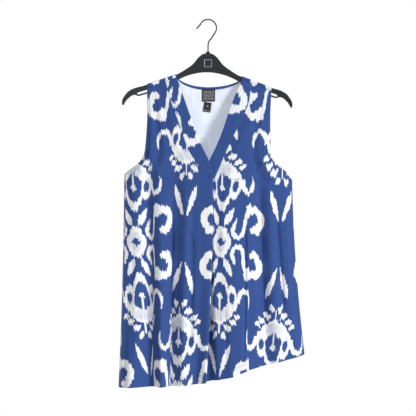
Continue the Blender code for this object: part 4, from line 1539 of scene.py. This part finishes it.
    def build_neckband(self, name: str, side: int, band: bpy.types.Material) -> None:
        """Make a doubled band between its seam on the front and the open neck.

        Args:
            name: the name of its solid.
            side: 0 at the left, 1 at the right.
            band: its material.
        """
        y = -self.shoulder_y - (BAND_WALL - CLOTH_WALL) / 2
        drop = self.back_seam_drop + SEAM_GAP
        seam_end = self.shoulder_point(self.band_tops[side], y, drop)
        neck_end = self.shoulder_point(self.neck_points[side], y, drop)
        outer = smooth_path([*self.band_seams[side], seam_end], self.upper_rows + 1)
        inner = smooth_path([*self.band_necks[side], neck_end], self.upper_rows + 1)
        outer[0] += (outer[1] - outer[0]) * 2 * SEAM_GAP / np.linalg.norm(outer[1] - outer[0])
        width = np.linalg.norm(outer - inner, axis=1)[:, None]
        outer = outer + (inner - outer) * SEAM_GAP * 0.6 / width
        shares = np.concatenate([self.tucked_shares, np.linspace(0, 1, 15)])
        grid = np.array([straight(start, end, shares) for start, end in zip(outer, inner)])
        round_off = 1 - (2 * shares - 1) ** 6
        grid[:, :, 1] -= self.band_crown * round_off[None]
        grid[:, : len(self.tucked_shares), 1] += self.seam_tuck
        below = grid[0] - grid[1]
        foot = grid[0] + below * self.seam_reach / np.linalg.norm(below, axis=1)[:, None]
        foot[:, 1] += self.seam_tuck
        grid = np.concatenate([foot[None], grid])
        width = np.vstack([width[:1], width])
        across = grid if side == 0 else grid[:, ::-1]
        flat = across[:, :, [0, 2]] + self.band_shifts[side]
        fold = np.broadcast_to(shares if side == 0 else shares[::-1], across.shape[:2])
        edge = np.stack([-(1 - fold) * width - 0.0002, flat[:, :, 1]], axis=-1)
        cloth = Cloth(name.replace("neckband", "banded_neck"), "band_jersey", name)
        cloth.add(across, flat, edge)
        made = cloth.build(BAND_WALL, band)
        soft = made.modifiers.new("Rolled_edge", "BEVEL")
        soft.width = self.band_bevel
        soft.segments = 2
        soft.angle_limit = math.radians(60)
        log.info("%s area %.4f", name, cloth.area())

    def build_binding(self, upper: np.ndarray, band: bpy.types.Material) -> None:
        """Make the narrow binding on the back's neck edge, from shoulder to shoulder."""
        first, last = (sum(f.strips for f in self.back_folds[:k]) for k in self.back_neck_folds)
        edge = upper[-1, first : last + 1].copy()
        below = upper[-2, first : last + 1]
        rise = (edge - below) / np.linalg.norm(edge - below, axis=1)[:, None]
        along = arc_length(edge)
        wanted = np.linspace(self.binding_end_gap, along[-1] - self.binding_end_gap, len(edge))
        edge = np.stack([np.interp(wanted, along, axis) for axis in edge.T], axis=1)
        fullness = np.sin(np.linspace(0, math.pi, len(edge)))[:, None] ** 0.35
        edge[:, 1] += BAND_WALL - CLOTH_WALL
        low = edge + rise * 2 * SEAM_GAP
        high = low + rise * self.binding_height * np.maximum(fullness, 0.25)
        shares = np.linspace(0, 1, 7)
        grid = np.stack([low + (high - low) * share for share in shares])
        grid[:, :, 1] -= 0.0005 * (1 - (2 * shares - 1) ** 4)[:, None]
        flat = grid[:, :, [0, 2]] + (0.0, -0.60)
        below_edge = np.broadcast_to((1 - shares)[:, None] * -self.binding_height, grid.shape[:2])
        border = np.stack([below_edge - 0.0002, flat[:, :, 0]], axis=-1)
        cloth = Cloth("banded_neck_back", "band_jersey", "neckband_back")
        cloth.add(grid, flat, border)
        made = cloth.build(BAND_WALL, band)
        soft = made.modifiers.new("Rolled_edge", "BEVEL")
        soft.width = 0.0005
        soft.segments = 2
        soft.angle_limit = math.radians(60)
        log.info("binding area %.4f", cloth.area())

    @staticmethod
    def depth_on(panel: np.ndarray, x: float, z: float) -> float:
        """y of the panel's cloth at a place."""
        heights = [np.interp(x, row[:, 0], row[:, 2]) for row in panel]
        depths = [np.interp(x, row[:, 0], row[:, 1]) for row in panel]
        return float(np.interp(z, heights, depths))

    def build_tape(
        self,
        name: str,
        node: str,
        panel: np.ndarray,
        top: tuple[float, float],
        size: tuple[float, float],
        tilt: float,
        woven: bpy.types.Material,
    ) -> None:
        """Make a woven label that lies on a panel.

        Args:
            name: name of the piece.
            node: the solid that it stands for.
            panel: grid of the cloth behind it.
            top: x and z of the middle of its top edge.
            size: its width and height.
            tilt: radians that its foot swings.
            woven: its material.
        """
        cells = 18
        lift = CLOTH_WALL / 2 + LABEL_WALL / 2 + LABEL_LIFT
        grid = np.zeros((cells + 1, cells + 1, 3))
        flat = np.zeros((cells + 1, cells + 1, 2))
        for row, v in enumerate(np.linspace(0, 1, cells + 1)):
            for column, u in enumerate(np.linspace(0, 1, cells + 1)):
                right, down = (u - 0.5) * size[0], (1 - v) * size[1]
                x = top[0] + right * math.cos(tilt) + down * math.sin(tilt)
                z = top[1] + right * math.sin(tilt) - down * math.cos(tilt)
                curl = 0.0010 * (1 - v) ** 2 * (0.4 + u) + 0.0003 * math.sin(u * 9 + v * 4) * (1 - v)
                grid[row, column] = (x, self.depth_on(panel, x, z) - lift - curl, z)
                flat[row, column] = (u * size[0], v * size[1])
        cloth = Cloth(name, "woven_label", node)
        cloth.add(grid, flat, flat)
        made = cloth.build(LABEL_WALL, woven)

    def build(self) -> None:
        """Make every piece of the garment."""
        face = PrintedJersey("printed_jersey_face", Side.FACE).build()
        reverse = PrintedJersey("printed_jersey_reverse", Side.REVERSE).build()
        self.build_front(face, reverse)
        upper = self.build_back(face, reverse)
        band = PrintedJersey("banded_jersey", Side.FACE, blank_under=-650.0).build()
        self.build_neckband("neckband_left", 0, band)
        self.build_neckband("neckband_right", 1, band)
        self.build_binding(upper, band)
        width, height = self.label_width, self.label_height
        label = WovenTape(
            "black_label_weave", width=width * 1000, height=height * 1000, pale_rings=0.75
        ).build()
        tab = WovenTape(
            "black_tab_weave",
            width=self.tab_width * 1000,
            height=self.tab_height * 1000,
            rim=1.4,
            pale_dot=1.6,
            pale_line=3.6,
        ).build()
        top = (self.label_middle, self.label_top)
        self.build_tape("woven_neck_label", "neck_label", upper, top, (width, height), 0.0, label)
        tab_top = self.label_top - height - SEAM_GAP
        tab_top -= math.sin(-self.tab_tilt) * self.tab_width / 2
        top = (self.label_middle - 0.0015, tab_top)
        size = (self.tab_width, self.tab_height)
        self.build_tape("woven_size_tab", "size_tab", upper, top, size, self.tab_tilt, tab)


# --------------------------------------------------------------------------------------------
# Studio
# --------------------------------------------------------------------------------------------


@dataclass(frozen=True)
class SoftLight:
    """Square soft box that looks at a target."""

    name: str
    place: tuple[float, float, float]
    target: tuple[float, float, float]
    size: float
    watts: float

    def build(self) -> None:
        """Make the light."""
        data = bpy.data.lights.new(self.name, "AREA")
        data.energy = self.watts
        data.size = self.size
        lamp = bpy.data.objects.new(self.name, data)
        bpy.context.scene.collection.objects.link(lamp)
        lamp.location = self.place
        aim_at(lamp, self.target)


def aim_at(made: bpy.types.Object, target: tuple[float, float, float]) -> None:
    """Turn a light or a camera so that it looks at a place."""
    direction = Vector(target) - made.location
    made.rotation_euler = direction.to_track_quat("-Z", "Y").to_euler()


GARMENT_MIDDLE = (0.0, 0.0, -0.5)


@dataclass
class Studio:
    """Pale floor, soft light, a white surround and the camera."""

    lights: tuple[SoftLight, ...] = (
        SoftLight("key_box", place=(3.1, -3.0, -0.1), target=GARMENT_MIDDLE, size=1.0, watts=148.0),
        SoftLight("fill_box", place=(-1.0, -3.2, -0.2), target=GARMENT_MIDDLE, size=1.6, watts=14.0),
        SoftLight("back_box", place=(-2.6, 3.4, 0.2), target=GARMENT_MIDDLE, size=1.0, watts=130.0),
        SoftLight("back_fill", place=(1.4, 3.4, -0.2), target=GARMENT_MIDDLE, size=1.6, watts=14.0),
    )
    floor_height: float = -1.30
    floor_reach: float = 1.3
    floor_sides: int = 96
    camera_distance: float = 3.0
    camera_height: float = -0.4695
    frame_width: float = 1.04
    sensor: float = 36.0
    world_strength: float = 0.31
    white_surround: float = 1.0

    def build_floor(self) -> None:
        """Make the round pale floor."""
        turns = np.linspace(0, math.tau, self.floor_sides, endpoint=False)
        edge = [(self.floor_reach * math.cos(turn), self.floor_reach * math.sin(turn)) for turn in turns]
        mesh = bpy.data.meshes.new("studio_floor")
        mesh.from_pydata([(x, y, self.floor_height) for x, y in edge], [], [range(self.floor_sides)])
        mesh.materials.append(StudioPaper("pale_paper").build())
        floor = bpy.data.objects.new("studio_floor", mesh)
        bpy.context.scene.collection.objects.link(floor)

    def build_lights(self) -> None:
        """Make the soft boxes and the pale surroundings."""
        for light in self.lights:
            light.build()
        world = bpy.data.worlds.new("pale_room")
        world.use_nodes = True
        nodes, links = world.node_tree.nodes, world.node_tree.links
        lit, seen = nodes["Background"], nodes.new("ShaderNodeBackground")
        for background, strength in ((lit, self.world_strength), (seen, self.white_surround)):
            background.inputs["Color"].default_value = (1.0, 1.0, 1.0, 1.0)
            background.inputs["Strength"].default_value = strength
        either = nodes.new("ShaderNodeMixShader")
        path = nodes.new("ShaderNodeLightPath")
        links.new(path.outputs["Is Camera Ray"], either.inputs[0])
        links.new(lit.outputs[0], either.inputs[1])
        links.new(seen.outputs[0], either.inputs[2])
        links.new(either.outputs[0], nodes["World Output"].inputs["Surface"])
        bpy.context.scene.world = world

    def build_camera(self) -> None:
        """Make the camera, level and square to the front."""
        data = bpy.data.cameras.new("camera")
        data.sensor_width = self.sensor
        data.lens = self.sensor * self.camera_distance / self.frame_width
        camera = bpy.data.objects.new("camera", data)
        bpy.context.scene.collection.objects.link(camera)
        camera.location = (0.0, -self.camera_distance, self.camera_height)
        aim_at(camera, (0.0, 0.0, self.camera_height))
        bpy.context.scene.camera = camera

    def build(self) -> None:
        """Make the whole studio."""
        self.build_floor()
        self.build_lights()
        self.build_camera()
        bpy.context.scene.view_settings.view_transform = "Standard"


def main() -> None:
    """Build the studio, the hanger and the garment, and note the sizes."""
    logging.basicConfig(level=logging.INFO, format="%(name)s: %(message)s")
    Studio().build()
    hanger = Hanger()
    hanger.build()
    Tunic(hanger).build()
    bpy.context.view_layer.update()


if __name__ == "__main__":
    main()
